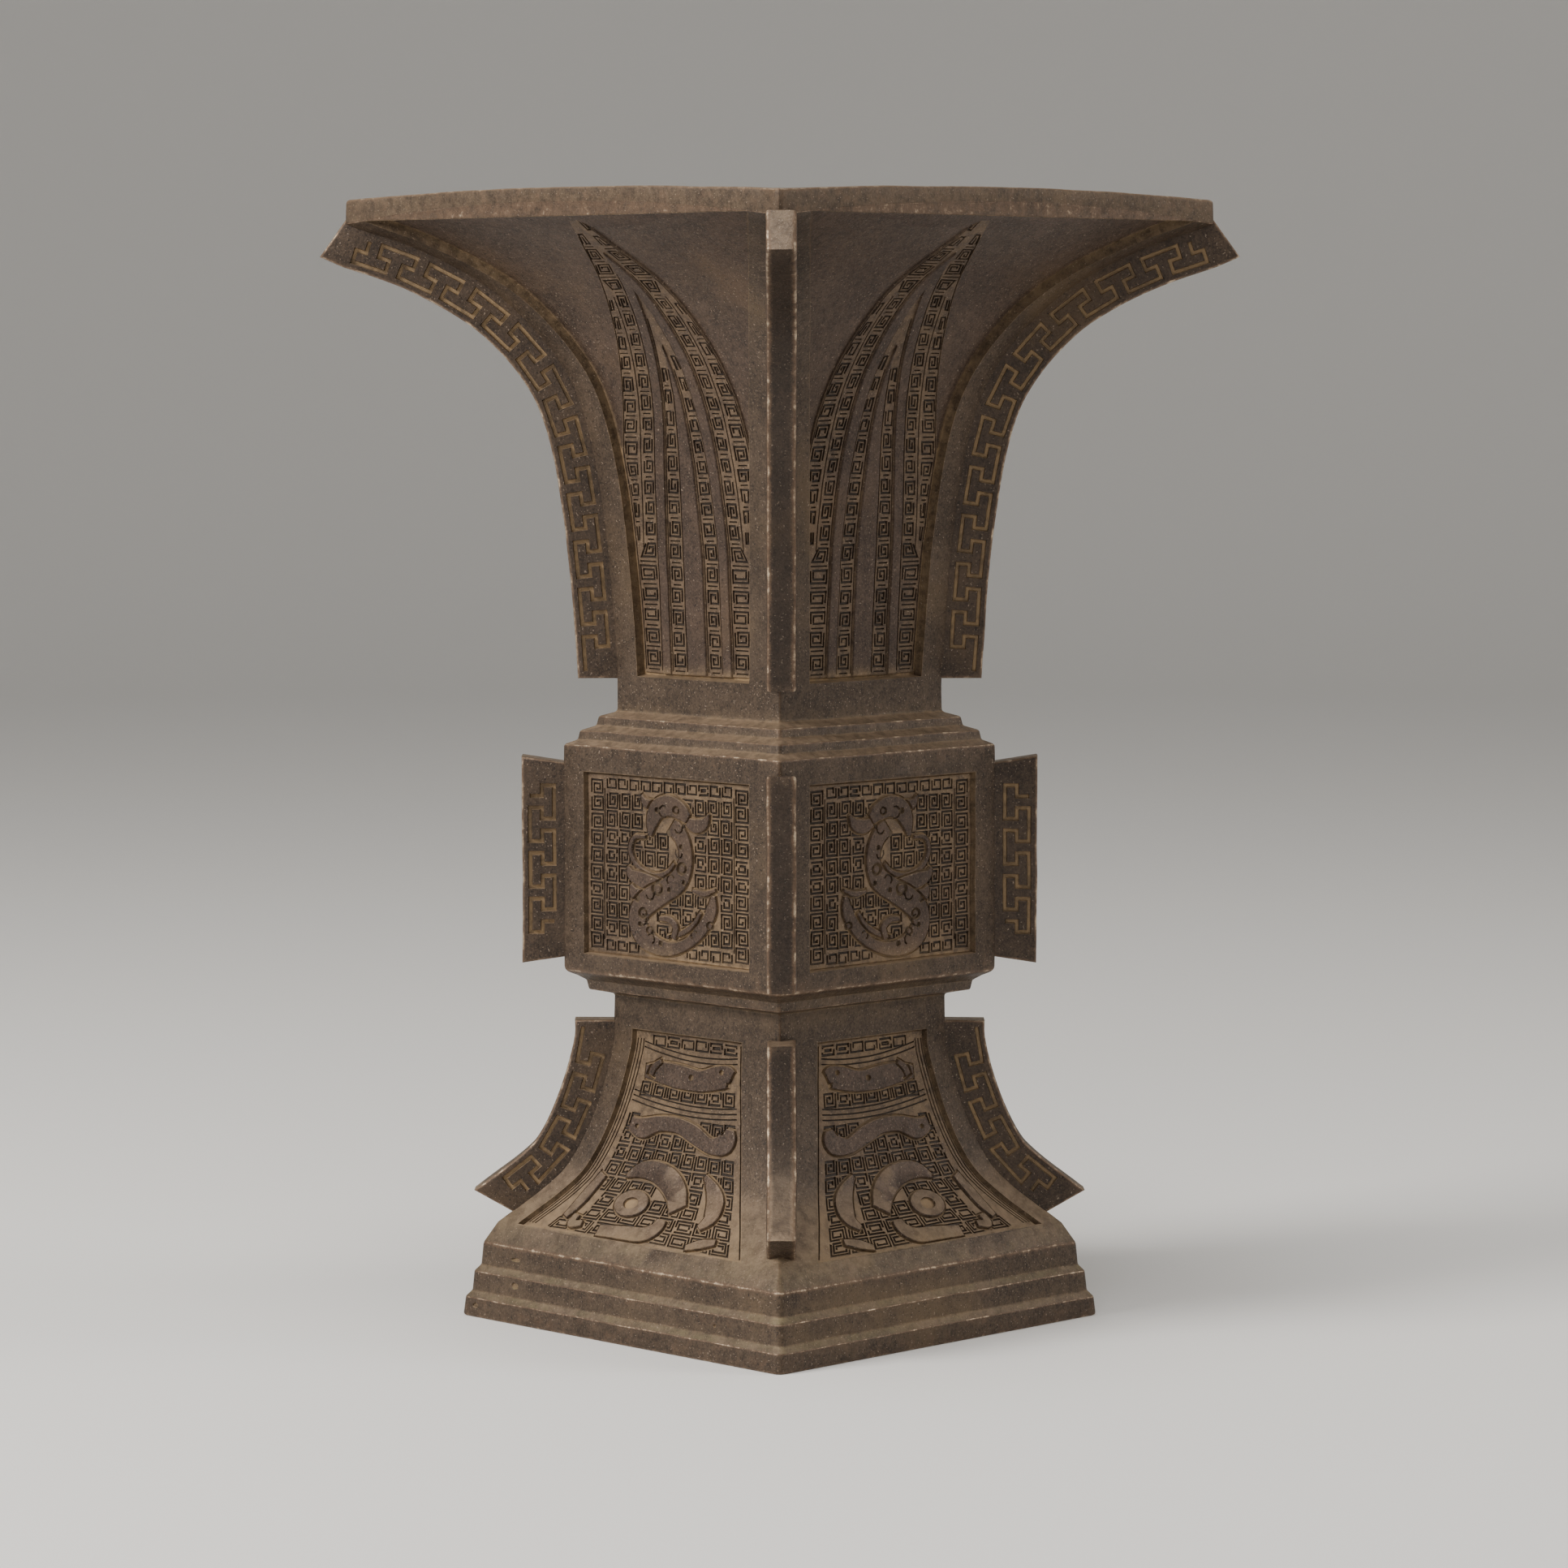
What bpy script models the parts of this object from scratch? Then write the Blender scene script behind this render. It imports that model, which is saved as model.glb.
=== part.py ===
"""Bronze fanggu, a square beaker vase with corner flanges, cast in one piece.

Sizes are in millimetres and the finished mesh is in metres. The vase stands on Z = 0 with its
axis on Z. The four walls face -Y, +X, +Y and -X, and the flanges stand on the diagonals. The
wall facing -Y is drawn flat, as width against length up the wall, and the other three walls are
the same drawing mirrored and turned, so the ornament meets in pairs at two of the corners.
"""

import math

import bmesh
import bpy
from mathutils import Vector
from mathutils.geometry import delaunay_2d_cdt

# Plinth: three steps, each with a drafted riser and a sloping ledge
BASE_HALF = 57.0
STEP_RISERS = (4.8, 4.9, 5.6)
STEP_DRAFT = 0.4
LEDGE_WIDTH = 1.2
LEDGE_RISE = 1.65
SHOULDER_WIDTH = 3.0
SHOULDER_RISE = 4.9

# Foot: a flare between the plinth and the waist under the bulb
FLARE_HEIGHT = 52.6
WAIST_HALF = 29.6
WAIST_HEIGHT = 5.6

# Bulb with one step below it and two above it
UNDER_STEP_HALF = 34.6
UNDER_STEP_HEIGHT = 3.4
BULB_HALF = 38.8
BULB_HEIGHT = 59.3
BULB_EDGE = 2.6
UPPER_STEP_HALVES = (36.0, 32.7)
UPPER_STEP_HEIGHT = 3.5
STEP_SLOPE = 1.2

# Neck: a trumpet from the shoulder steps to the square lip
NECK_HALF = 28.9
NECK_HEIGHT = 121.0
LIP_HALF = 76.6
LIP_HEIGHT = 6.1
RIM_ARCH = 1.7
LIP_ARCH = 4.2
ARCH_START = 60.0

# Walls, hollows and corners
WALL = 4.6
RIM_WALL = 4.0
FLOOR_THICKNESS = 4.5
FOOT_RIM_WALL = 5.0
OUTER_CORNER = 0.8
INNER_CORNER = 4.4

# Flanges
FLANGE_THICKNESS = 7.2
FLANGE_REACH = 10.2
FLANGE_ROOT = 1.3
NECK_FLANGE_RISE = 7.4
NECK_FLANGE_TIP = 2.6
NECK_FLANGE_LET_IN = 0.8
BULB_FLANGE_INSET = 3.2
BULB_FLANGE_SLANT = 2.8
FOOT_FLANGE_DROP = 1.2
NEAR_FLANGE_SHIFT = 0.5
SIDE_FLANGE_SHIFT = 3.2
FLANGE_CLEARANCE = 1.2

# Fret slots on the flange sides
FRET_PITCH = 11.6
FRET_RIM = 1.6
FRET_SLOT_WIDTH = 1.2
FRET_SLOT_DEPTH = 0.8
FRET_BORDER = 1.9
FRET_STEM = 0.24

# Sunk panels in each wall
MARGIN_NEAR = 10.4
MARGIN_FAR = 7.8
NECK_PANEL_FOOT = 8.2
NECK_RECESS = 2.4
BULB_PANEL_FOOT = 6.4
BULB_PANEL_HEAD = 7.0
BULB_RECESS = 1.7
FOOT_MARGIN_NEAR = 13.2
FOOT_MARGIN_FAR = 7.0
FOOT_PANEL_FOOT = 0.6
FOOT_PANEL_HEAD = 2.8
FOOT_RECESS = 1.6
RELIEF_STEP = 0.5
FIGURE_HEIGHT = 0.9
RELIEF_SLOPE = 0.3
RECESS_SLOPE = 0.35

# Blade ornament on the neck, widths from the centre line
CENTRE_STRIP_HALF = 3.3
INNER_BAND = 6.0
PLAIN_BAND = 2.9
BLADE_GAP = 0.9
BLADE_TIP_GAP = 4.0
BLADE_TIP_SPACING = (15.0, 13.0, 16.0)

ROOT_TWO = math.sqrt(2.0)
TOUCHING = 0.002
SLIVER = 0.06


def smooth_curve(points, pieces):
    """A Catmull and Rom curve through the points, with the number of pieces of each span."""
    first = [2 * a - b for a, b in zip(points[0], points[1])]
    last = [2 * a - b for a, b in zip(points[-1], points[-2])]
    guide = [first] + [list(p) for p in points] + [last]
    curve = []
    for i in range(1, len(guide) - 2):
        for k in range(pieces[i - 1]):
            t = k / pieces[i - 1]
            curve.append([
                0.5 * (2 * b + (c - a) * t + (2 * a - 5 * b + 4 * c - d) * t ** 2
                       + (3 * b - a - 3 * c + d) * t ** 3)
                for a, b, c, d in zip(*guide[i - 1:i + 3])])
    curve.append(list(points[-1]))
    return curve


class Profile:
    """One wall's section from the foot hollow, up the outside and down into the vessel.

    Each row is (half width, height, corner cut). The length up the wall is measured along it.
    """

    def __init__(self):
        self.rows = []
        self.marks = {}

    def add(self, half, z, corner=OUTER_CORNER):
        self.rows.append((half, z, corner))

    def mark(self, name):
        self.marks[name] = len(self.rows) - 1

    def finish(self):
        self.lengths = [0.0]
        for a, b in zip(self.rows, self.rows[1:]):
            self.lengths.append(self.lengths[-1] + math.dist(a[:2], b[:2]))
        slopes = []
        for a, b in zip(self.rows, self.rows[1:]):
            step = Vector((b[0] - a[0], b[1] - a[1])).normalized()
            slopes.append(Vector((step.y, -step.x)))
        self.normals = [slopes[0]]
        for a, b in zip(slopes, slopes[1:]):
            self.normals.append((a + b).normalized())
        self.normals.append(slopes[-1])

    def at(self, length):
        """Half width, height, corner cut and outward normal at a length up the wall."""
        i = 0
        while i < len(self.rows) - 2 and self.lengths[i + 1] < length:
            i += 1
        span = self.lengths[i + 1] - self.lengths[i]
        t = min(1.0, max(0.0, (length - self.lengths[i]) / span))
        half, z, corner = (a + (b - a) * t for a, b in zip(self.rows[i], self.rows[i + 1]))
        return half, z, corner, self.normals[i].lerp(self.normals[i + 1], t)

    def length_at(self, z, first, last):
        """Length up the wall where the stretch between two marks reaches a height."""
        for i in range(self.marks[first], self.marks[last]):
            low, high = self.rows[i][1], self.rows[i + 1][1]
            if low <= z <= high:
                share = (z - low) / (high - low)
                return self.lengths[i] + share * (self.lengths[i + 1] - self.lengths[i])
        raise ValueError("height outside the stretch")


def wall_inside(stretch, thickness):
    """The stretch of an outer section moved inwards by a wall thickness."""
    moved = []
    for i, point in enumerate(stretch):
        before = stretch[max(i - 1, 0)]
        after = stretch[min(i + 1, len(stretch) - 1)]
        step = Vector((after[0] - before[0], after[1] - before[1])).normalized()
        moved.append((point[0] - step.y * thickness, point[1] + step.x * thickness))
    return moved


def build_profile():
    """The whole section, with the marks that the panels and flanges are placed by."""
    steps = [(BASE_HALF, 0.0)]
    half = BASE_HALF
    z = 0.0
    for riser in STEP_RISERS:
        half -= STEP_DRAFT
        z += riser
        steps.append((half, z))
        if riser is not STEP_RISERS[-1]:
            half -= LEDGE_WIDTH
            z += LEDGE_RISE
            steps.append((half, z))
    shoulder_half = half - SHOULDER_WIDTH
    shoulder_z = z + SHOULDER_RISE
    steps.append((half - 0.35 * SHOULDER_WIDTH, z + 0.6 * SHOULDER_RISE))

    drop = shoulder_half - WAIST_HALF
    waist_z = shoulder_z + FLARE_HEIGHT
    flare = smooth_curve([
        (shoulder_half, shoulder_z),
        (WAIST_HALF + 0.57 * drop, shoulder_z + 0.185 * FLARE_HEIGHT),
        (WAIST_HALF + 0.355 * drop, shoulder_z + 0.32 * FLARE_HEIGHT),
        (WAIST_HALF + 0.155 * drop, shoulder_z + 0.56 * FLARE_HEIGHT),
        (WAIST_HALF + 0.012 * drop, shoulder_z + 0.85 * FLARE_HEIGHT),
        (WAIST_HALF, waist_z)], (2, 2, 2, 1, 1))

    waist_top = waist_z + WAIST_HEIGHT
    bulb_foot = waist_top + UNDER_STEP_HEIGHT + STEP_SLOPE
    bulb_top = bulb_foot + BULB_HEIGHT - STEP_SLOPE
    bulb = [
        (WAIST_HALF, waist_top),
        (UNDER_STEP_HALF - STEP_DRAFT, waist_top + 1.0),
        (UNDER_STEP_HALF, waist_top + UNDER_STEP_HEIGHT),
        (BULB_HALF - BULB_EDGE, bulb_foot),
        (BULB_HALF - 0.3 * BULB_EDGE, bulb_foot + 0.35 * BULB_EDGE),
        (BULB_HALF, bulb_foot + BULB_EDGE),
        (BULB_HALF - STEP_DRAFT, bulb_top)]
    z = bulb_top
    for step_half in UPPER_STEP_HALVES:
        z += STEP_SLOPE
        bulb.append((step_half, z))
        z += UPPER_STEP_HEIGHT - STEP_SLOPE
        bulb.append((step_half - STEP_DRAFT, z))
    neck_foot = z + STEP_SLOPE

    flare_out = LIP_HALF - NECK_HALF
    neck = smooth_curve([
        (NECK_HALF, neck_foot),
        (NECK_HALF + 0.002 * flare_out, neck_foot + 0.10 * NECK_HEIGHT),
        (NECK_HALF + 0.041 * flare_out, neck_foot + 0.366 * NECK_HEIGHT),
        (NECK_HALF + 0.112 * flare_out, neck_foot + 0.593 * NECK_HEIGHT),
        (NECK_HALF + 0.223 * flare_out, neck_foot + 0.729 * NECK_HEIGHT),
        (NECK_HALF + 0.428 * flare_out, neck_foot + 0.852 * NECK_HEIGHT),
        (NECK_HALF + 0.705 * flare_out, neck_foot + 0.942 * NECK_HEIGHT),
        (LIP_HALF, neck_foot + NECK_HEIGHT)], (1, 1, 2, 2, 2, 2, 2))
    lip_top = neck_foot + NECK_HEIGHT + LIP_HEIGHT

    profile = Profile()
    ceiling = waist_top + 0.5
    hollow = [p for p in wall_inside(flare, WALL) if p[1] < ceiling - 6.0]
    hollow_half = hollow[-1][0]
    profile.add(hollow_half, ceiling, INNER_CORNER)
    for point in reversed(hollow[:-1]):
        profile.add(*point, INNER_CORNER)
    profile.add(BASE_HALF - FOOT_RIM_WALL, 0.0, INNER_CORNER)
    for i, point in enumerate(steps):
        profile.add(*point)
        if i == 0:
            profile.mark("base")
    for i, point in enumerate(flare):
        profile.add(*point)
        if i == 0:
            profile.mark("foot_bottom")
    profile.mark("foot_top")
    for point in bulb:
        profile.add(*point)
        if point[1] == bulb_foot + BULB_EDGE:
            profile.mark("bulb_bottom")
        if point[1] == bulb_top:
            profile.mark("bulb_top")
    for i, point in enumerate(neck):
        profile.add(*point)
        if i == 0:
            profile.mark("neck_bottom")
    profile.mark("neck_top")
    profile.add(LIP_HALF, lip_top)
    profile.mark("rim_outside")
    profile.add(LIP_HALF - RIM_WALL, lip_top, INNER_CORNER)
    profile.mark("rim_inside")
    mouth_half = LIP_HALF - RIM_WALL - WALL
    inner_neck = [p for p in wall_inside(neck, WALL) if p[1] > bulb_top and p[0] < mouth_half]
    for point in reversed(inner_neck):
        profile.add(*point, INNER_CORNER)
    floor = ceiling + FLOOR_THICKNESS
    profile.add(BULB_HALF - WALL - STEP_DRAFT, bulb_top - 1.5 * WALL, INNER_CORNER)
    profile.add(BULB_HALF - WALL, floor + 0.6 * WALL, INNER_CORNER)
    profile.add(BULB_HALF - 1.9 * WALL, floor, INNER_CORNER)
    profile.finish()
    return profile


def inside_or_on(outline, point):
    """Whether a point is inside a closed outline or on its line."""
    x, y = point
    inside = False
    ax, ay = outline[-1]
    for bx, by in outline:
        run, rise = bx - ax, by - ay
        size = run * run + rise * rise
        t = 0.0 if size == 0 else min(1.0, max(0.0, ((x - ax) * run + (y - ay) * rise) / size))
        if math.hypot(ax + t * run - x, ay + t * rise - y) < TOUCHING:
            return True
        if (ay > y) != (by > y) and x < ax + (y - ay) * run / rise:
            inside = not inside
        ax, ay = bx, by
    return inside


def drawn_inwards(outline, distance):
    """A closed outline moved inwards, whichever way round it runs."""
    count = len(outline)
    area = sum(outline[i - 1][0] * outline[i][1] - outline[i][0] * outline[i - 1][1]
               for i in range(count))
    turn = 1.0 if area > 0 else -1.0
    moved = []
    for i in range(count):
        a, b, c = (Vector(outline[j % count]) for j in (i - 1, i, i + 1))
        before = (b - a).normalized()
        after = (c - b).normalized()
        bisector = Vector((-before.y - after.y, before.x + after.x)) * turn
        bisector.normalize()
        cosine = max(0.5, abs(bisector.dot(Vector((-before.y, before.x)))))
        moved.append(tuple(b + bisector * (distance / cosine)))
    return moved


def ribbon(spine, widths, pieces):
    """The outline of a band that follows a curve, with its width given at each point."""
    stations = [(x, y, w) for (x, y), w in zip(spine, widths)]
    curve = smooth_curve(stations, [pieces] * (len(stations) - 1))
    left = []
    right = []
    for i, (x, y, width) in enumerate(curve):
        before = curve[max(i - 1, 0)]
        after = curve[min(i + 1, len(curve) - 1)]
        step = Vector((after[0] - before[0], after[1] - before[1])).normalized()
        left.append((x - step.y * width / 2, y + step.x * width / 2))
        right.append((x + step.y * width / 2, y - step.x * width / 2))
    return left + right[::-1]


def ellipse(centre, across, up, sides=10):
    """The outline of an ellipse."""
    return [(centre[0] + across * math.cos(math.tau * k / sides),
             centre[1] + up * math.sin(math.tau * k / sides)) for k in range(sides)]


class Drawing:
    """A flat drawing of one surface: constraint lines, and outlines that set the height."""

    def __init__(self):
        self.points = []
        self.lines = []
        self.levels = []

    def line(self, points, closed=False):
        start = len(self.points)
        self.points += [Vector(p) for p in points]
        count = len(points)
        for k in range(count if closed else count - 1):
            self.lines.append((start + k, start + (k + 1) % count))

    def level(self, outline, height, slope=RELIEF_SLOPE):
        """Everything inside the outline stands at the height, with a sloping side."""
        inner = drawn_inwards(outline, slope)
        self.line(outline, closed=True)
        self.line(inner, closed=True)
        self.levels.append((inner, height))

    def triangles(self):
        """The points with their heights, and the triangles between them."""
        found = delaunay_2d_cdt(self.points, self.lines, [], 1, 1e-4)
        points = found[0]
        heights = []
        for point in points:
            height = 0.0
            for outline, level in self.levels:
                if inside_or_on(outline, point):
                    height = level
            heights.append(height)
        return points, heights, found[2]


def panel_edges(profile, first, last, low, high, far, near):
    """Rows of a sunk panel: length up the wall, left edge and right edge."""
    stops = [low]
    for i in range(profile.marks[first], profile.marks[last] + 1):
        if low + 1.0 < profile.lengths[i] < high - 1.0:
            stops.append(profile.lengths[i])
    stops.append(high)
    return [(v, far - profile.at(v)[0], profile.at(v)[0] - near) for v in stops]


def outline_of(edges):
    """The closed outline of a panel from its rows."""
    return [(right, v) for v, left, right in edges] + [(left, v) for v, left, right in edges][::-1]


def inside_panel(edges, shares):
    """Points given as shares of a panel's width and length, as points of the drawing."""
    low, high = edges[0][0], edges[-1][0]
    placed = []
    for across, up in shares:
        v = low + up * (high - low)
        for (v0, left0, right0), (v1, left1, right1) in zip(edges, edges[1:]):
            if v <= v1:
                break
        t = (v - v0) / (v1 - v0)
        left = left0 + t * (left1 - left0)
        right = right0 + t * (right1 - right0)
        placed.append((left + across * (right - left), v))
    return placed


def beside_side_flange():
    """How far from the corner a panel starts where a side flange leans over its wall."""
    return (FLANGE_THICKNESS / 2 + SIDE_FLANGE_SHIFT) * ROOT_TWO + FLANGE_CLEARANCE


def draw_neck_panel(drawing, profile, far):
    """A sunk panel up to the lip with a long pointed blade in nested bands."""
    low = profile.lengths[profile.marks["neck_bottom"]] + NECK_PANEL_FOOT
    high = profile.lengths[profile.marks["neck_top"]]
    edges = panel_edges(profile, "neck_bottom", "neck_top", low, high, far, MARGIN_NEAR)
    drawing.level(outline_of(edges), -NECK_RECESS, RECESS_SLOPE)

    centre = (edges[0][1] + edges[0][2]) / 2
    full = (edges[0][2] - edges[0][1]) / 2
    tip = high - BLADE_TIP_GAP
    widths = [
        1.25 * full,
        CENTRE_STRIP_HALF + INNER_BAND + PLAIN_BAND,
        CENTRE_STRIP_HALF + INNER_BAND,
        CENTRE_STRIP_HALF]
    heights = [RELIEF_STEP, 2 * RELIEF_STEP, RELIEF_STEP, 2 * RELIEF_STEP]
    for k, (width, height) in enumerate(zip(widths, heights)):
        point = tip - sum(BLADE_TIP_SPACING[:k])
        shoulder = low + 0.28 * (point - low)
        right = []
        left = []
        for v, left_edge, right_edge in edges[:-1]:
            if v > point - 4.0:
                break
            share = max(0.0, (v - shoulder) / (point - shoulder))
            reach = width * (1.0 - share ** 1.7)
            foot = v + BLADE_GAP if v == low else v
            right.append((min(centre + reach, right_edge - BLADE_GAP), foot))
            left.append((max(centre - reach, left_edge + BLADE_GAP), foot))
        drawing.level(right + [(centre, point)] + left[::-1], height - NECK_RECESS)


def draw_bulb_panel(drawing, profile, far):
    """A sunk square with a coiling dragon in low relief."""
    low = profile.lengths[profile.marks["bulb_bottom"]] + BULB_PANEL_FOOT - BULB_EDGE
    high = profile.lengths[profile.marks["bulb_top"]] - BULB_PANEL_HEAD
    edges = panel_edges(profile, "bulb_bottom", "bulb_top", low, high, far, MARGIN_NEAR)
    drawing.level(outline_of(edges), -BULB_RECESS, RECESS_SLOPE)

    unit = (edges[0][2] - edges[0][1]) / 100
    strokes = [
        ([(0.38, 0.80), (0.46, 0.80), (0.56, 0.77), (0.66, 0.76), (0.75, 0.78)],
         [9, 13, 15, 12, 3]),
        ([(0.52, 0.78), (0.61, 0.68), (0.63, 0.56), (0.57, 0.47), (0.44, 0.42), (0.36, 0.34),
          (0.37, 0.22), (0.47, 0.12), (0.60, 0.12), (0.70, 0.21), (0.74, 0.34), (0.73, 0.42)],
         [12, 12, 12, 14, 16, 13, 13, 12, 12, 11, 9, 4]),
        ([(0.44, 0.44), (0.33, 0.49), (0.28, 0.58), (0.27, 0.68)], [10, 8, 6, 3])]
    for spine, widths in strokes:
        shape = ribbon(inside_panel(edges, spine), [w * unit for w in widths], 1)
        drawing.level(shape, FIGURE_HEIGHT - BULB_RECESS)


def draw_foot_panel(drawing, profile, far):
    """A sunk panel with half of a mask and a small dragon over it."""
    low = profile.lengths[profile.marks["foot_bottom"]] + FOOT_PANEL_FOOT
    high = profile.lengths[profile.marks["foot_top"]] - FOOT_PANEL_HEAD
    edges = panel_edges(profile, "foot_bottom", "foot_top", low, high, far, FOOT_MARGIN_NEAR)
    drawing.level(outline_of(edges), -FOOT_RECESS, RECESS_SLOPE)

    unit = (high - low) / 100
    strokes = [
        ([(0.15, 0.815), (0.29, 0.818), (0.45, 0.811), (0.62, 0.805), (0.75, 0.825),
          (0.87, 0.84)],
         [5, 8, 9, 8, 9, 6]),
        ([(0.14, 0.575), (0.24, 0.56), (0.36, 0.592), (0.50, 0.595), (0.63, 0.565),
          (0.76, 0.525), (0.87, 0.55), (0.90, 0.61)],
         [5, 8, 6, 6, 7, 6, 9, 4]),
        ([(0.26, 0.335), (0.33, 0.372), (0.43, 0.376), (0.53, 0.345), (0.60, 0.29),
          (0.64, 0.215)],
         [2, 6, 8, 9, 9, 8]),
        ([(0.75, 0.39), (0.81, 0.33), (0.835, 0.27), (0.825, 0.20), (0.775, 0.14)],
         [2, 6, 8, 7, 3]),
        ([(0.36, 0.045), (0.45, 0.05), (0.53, 0.06), (0.575, 0.10), (0.585, 0.155)],
         [6, 6, 7, 7, 5])]
    for spine, widths in strokes:
        shape = ribbon(inside_panel(edges, spine), [w * unit for w in widths], 1)
        drawing.level(shape, FIGURE_HEIGHT - FOOT_RECESS)
    eye = inside_panel(edges, [(0.385, 0.21)])[0]
    drawing.level(ellipse(eye, 8.0 * unit, 7.0 * unit), FIGURE_HEIGHT - FOOT_RECESS)
    drawing.level(ellipse(eye, 2.2 * unit, 2.5 * unit, 6), -FOOT_RECESS)


def draw_wall(profile, far, foot_far):
    """The flat drawing of one wall, from the foot hollow to the floor of the vessel."""
    drawing = Drawing()
    right = []
    left = []
    for (half, z, corner), v in zip(profile.rows, profile.lengths):
        right.append((half - corner, v))
        left.append((corner - half, v))
    drawing.line(right + left[::-1], closed=True)
    for i in range(1, len(right) - 1):
        row = [left[i], right[i]]
        if profile.rows[i][0] > ARCH_START:
            row = [(left[i][0] + (right[i][0] - left[i][0]) * k / 4, left[i][1]) for k in range(5)]
        drawing.line(row)
    draw_foot_panel(drawing, profile, foot_far)
    draw_bulb_panel(drawing, profile, far)
    draw_neck_panel(drawing, profile, far)
    return drawing


def arch(profile, s, v):
    """How much higher the wall stands here than at its corners, close to the lip."""
    half = profile.at(v)[0]
    foot = profile.lengths[profile.marks["neck_top"]]
    inside = profile.lengths[profile.marks["rim_inside"]]
    reach = max(0.0, (half - ARCH_START) / (LIP_HALF - ARCH_START))
    rise = LIP_ARCH * reach ** 1.5
    if foot < v < inside + TOUCHING:
        share = min(1.0, (v - foot) / LIP_HEIGHT)
        rise = LIP_ARCH + share * (RIM_ARCH - LIP_ARCH)
    return rise * max(0.0, 1.0 - (s / half) ** 2)


def on_wall(profile, turn, s, v, height=0.0):
    """A point of the drawing on one of the four walls, in metres."""
    half, z, corner, normal = profile.at(v)
    x, y = s, -(half + height * normal.x)
    if turn in (1, 3):
        x, y = -y, -x
    if turn in (2, 3):
        x, y = -x, -y
    return Vector((x, y, z + height * normal.y + arch(profile, s, v))) / 1000.0


def build_shell(profile):
    """The hollow vessel with its sunk and raised ornament, as one closed mesh."""
    front = draw_wall(profile, MARGIN_FAR, FOOT_MARGIN_FAR).triangles()
    back = draw_wall(profile, beside_side_flange(), beside_side_flange()).triangles()
    shell = bmesh.new()
    for turn, (points, heights, triangles) in enumerate((front, front, back, back)):
        verts = [shell.verts.new(on_wall(profile, turn, p.x, p.y, height))
                 for p, height in zip(points, heights)]
        for triangle in triangles:
            shell.faces.new([verts[i] for i in triangle])

    corners = []
    for (half, z, corner), v in zip(profile.rows, profile.lengths):
        ring = []
        for turn, side in ((0, -1), (0, 1), (1, 1), (1, -1), (2, -1), (2, 1), (3, 1), (3, -1)):
            ring.append(shell.verts.new(on_wall(profile, turn, side * (half - corner), v)))
        corners.append(ring)
    for low, high in zip(corners, corners[1:]):
        for k in (1, 3, 5, 7):
            after = (k + 1) % 8
            shell.faces.new((low[k], low[after], high[after], high[k]))
    shell.faces.new(corners[0])
    shell.faces.new(corners[-1])
    bmesh.ops.remove_doubles(shell, verts=shell.verts, dist=TOUCHING / 1000.0)
    bmesh.ops.recalc_face_normals(shell, faces=shell.faces)
    mesh = bpy.data.meshes.new("shell")
    shell.to_mesh(mesh)
    shell.free()
    return mesh


def corner_section(profile, first, last, low, high):
    """The body's corner line between two heights, as distance from the axis against height."""
    line = []
    for i in range(profile.marks[first], profile.marks[last] + 1):
        half, z, corner = profile.rows[i]
        if low < z < high:
            line.append(((half - corner / 2) * ROOT_TWO, z))
    for z, place in ((low, 0), (high, len(line))):
        v = profile.length_at(z, first, last)
        half, z, corner, normal = profile.at(v)
        line.insert(place if place == 0 else len(line), ((half - corner / 2) * ROOT_TWO, z))
    return line


def moved_sideways(line, distance):
    """A line moved to its right by a distance, with even corners."""
    moved = []
    for i, point in enumerate(line):
        before = line[max(i - 1, 0)]
        after = line[min(i + 1, len(line) - 1)]
        step = Vector((after[0] - before[0], after[1] - before[1])).normalized()
        moved.append((point[0] + step.y * distance, point[1] - step.x * distance))
    return moved


def along(line, distance):
    """A point at a distance along a line, and the direction of the line there."""
    for a, b in zip(line, line[1:]):
        size = math.dist(a, b)
        if distance <= size or b is line[-1]:
            step = Vector((b[0] - a[0], b[1] - a[1])) / size
            return Vector(a) + step * distance, step
        distance -= size


def fret_slots(edge):
    """Staggered slots in two rows that follow the flange's outer edge."""
    length = sum(math.dist(a, b) for a, b in zip(edge, edge[1:]))
    count = max(1, int(length / FRET_PITCH))
    pitch = length / (count + 0.1)
    inner_row = FLANGE_REACH - FRET_BORDER - FRET_SLOT_WIDTH
    slots = []
    for row, start in ((FRET_RIM, 0.05), (inner_row, 0.55)):
        for k in range(count):
            low = (k + start + FRET_STEM / 2) * pitch
            high = (k + start + 1 - FRET_STEM / 2) * pitch
            if high > length - 1.0:
                continue
            corners = []
            ridge = []
            for place, across in ((low, 0), (high, 0), (high, 1), (low, 1)):
                point, step = along(edge, place)
                inwards = Vector((-step.y, step.x))
                corners.append(point + inwards * (row + across * FRET_SLOT_WIDTH))
            for place in (low + FRET_SLOT_WIDTH / 2, high - FRET_SLOT_WIDTH / 2):
                point, step = along(edge, place)
                inwards = Vector((-step.y, step.x))
                ridge.append(point + inwards * (row + FRET_SLOT_WIDTH / 2))
            slots.append((corners, ridge))
    return slots


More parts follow.
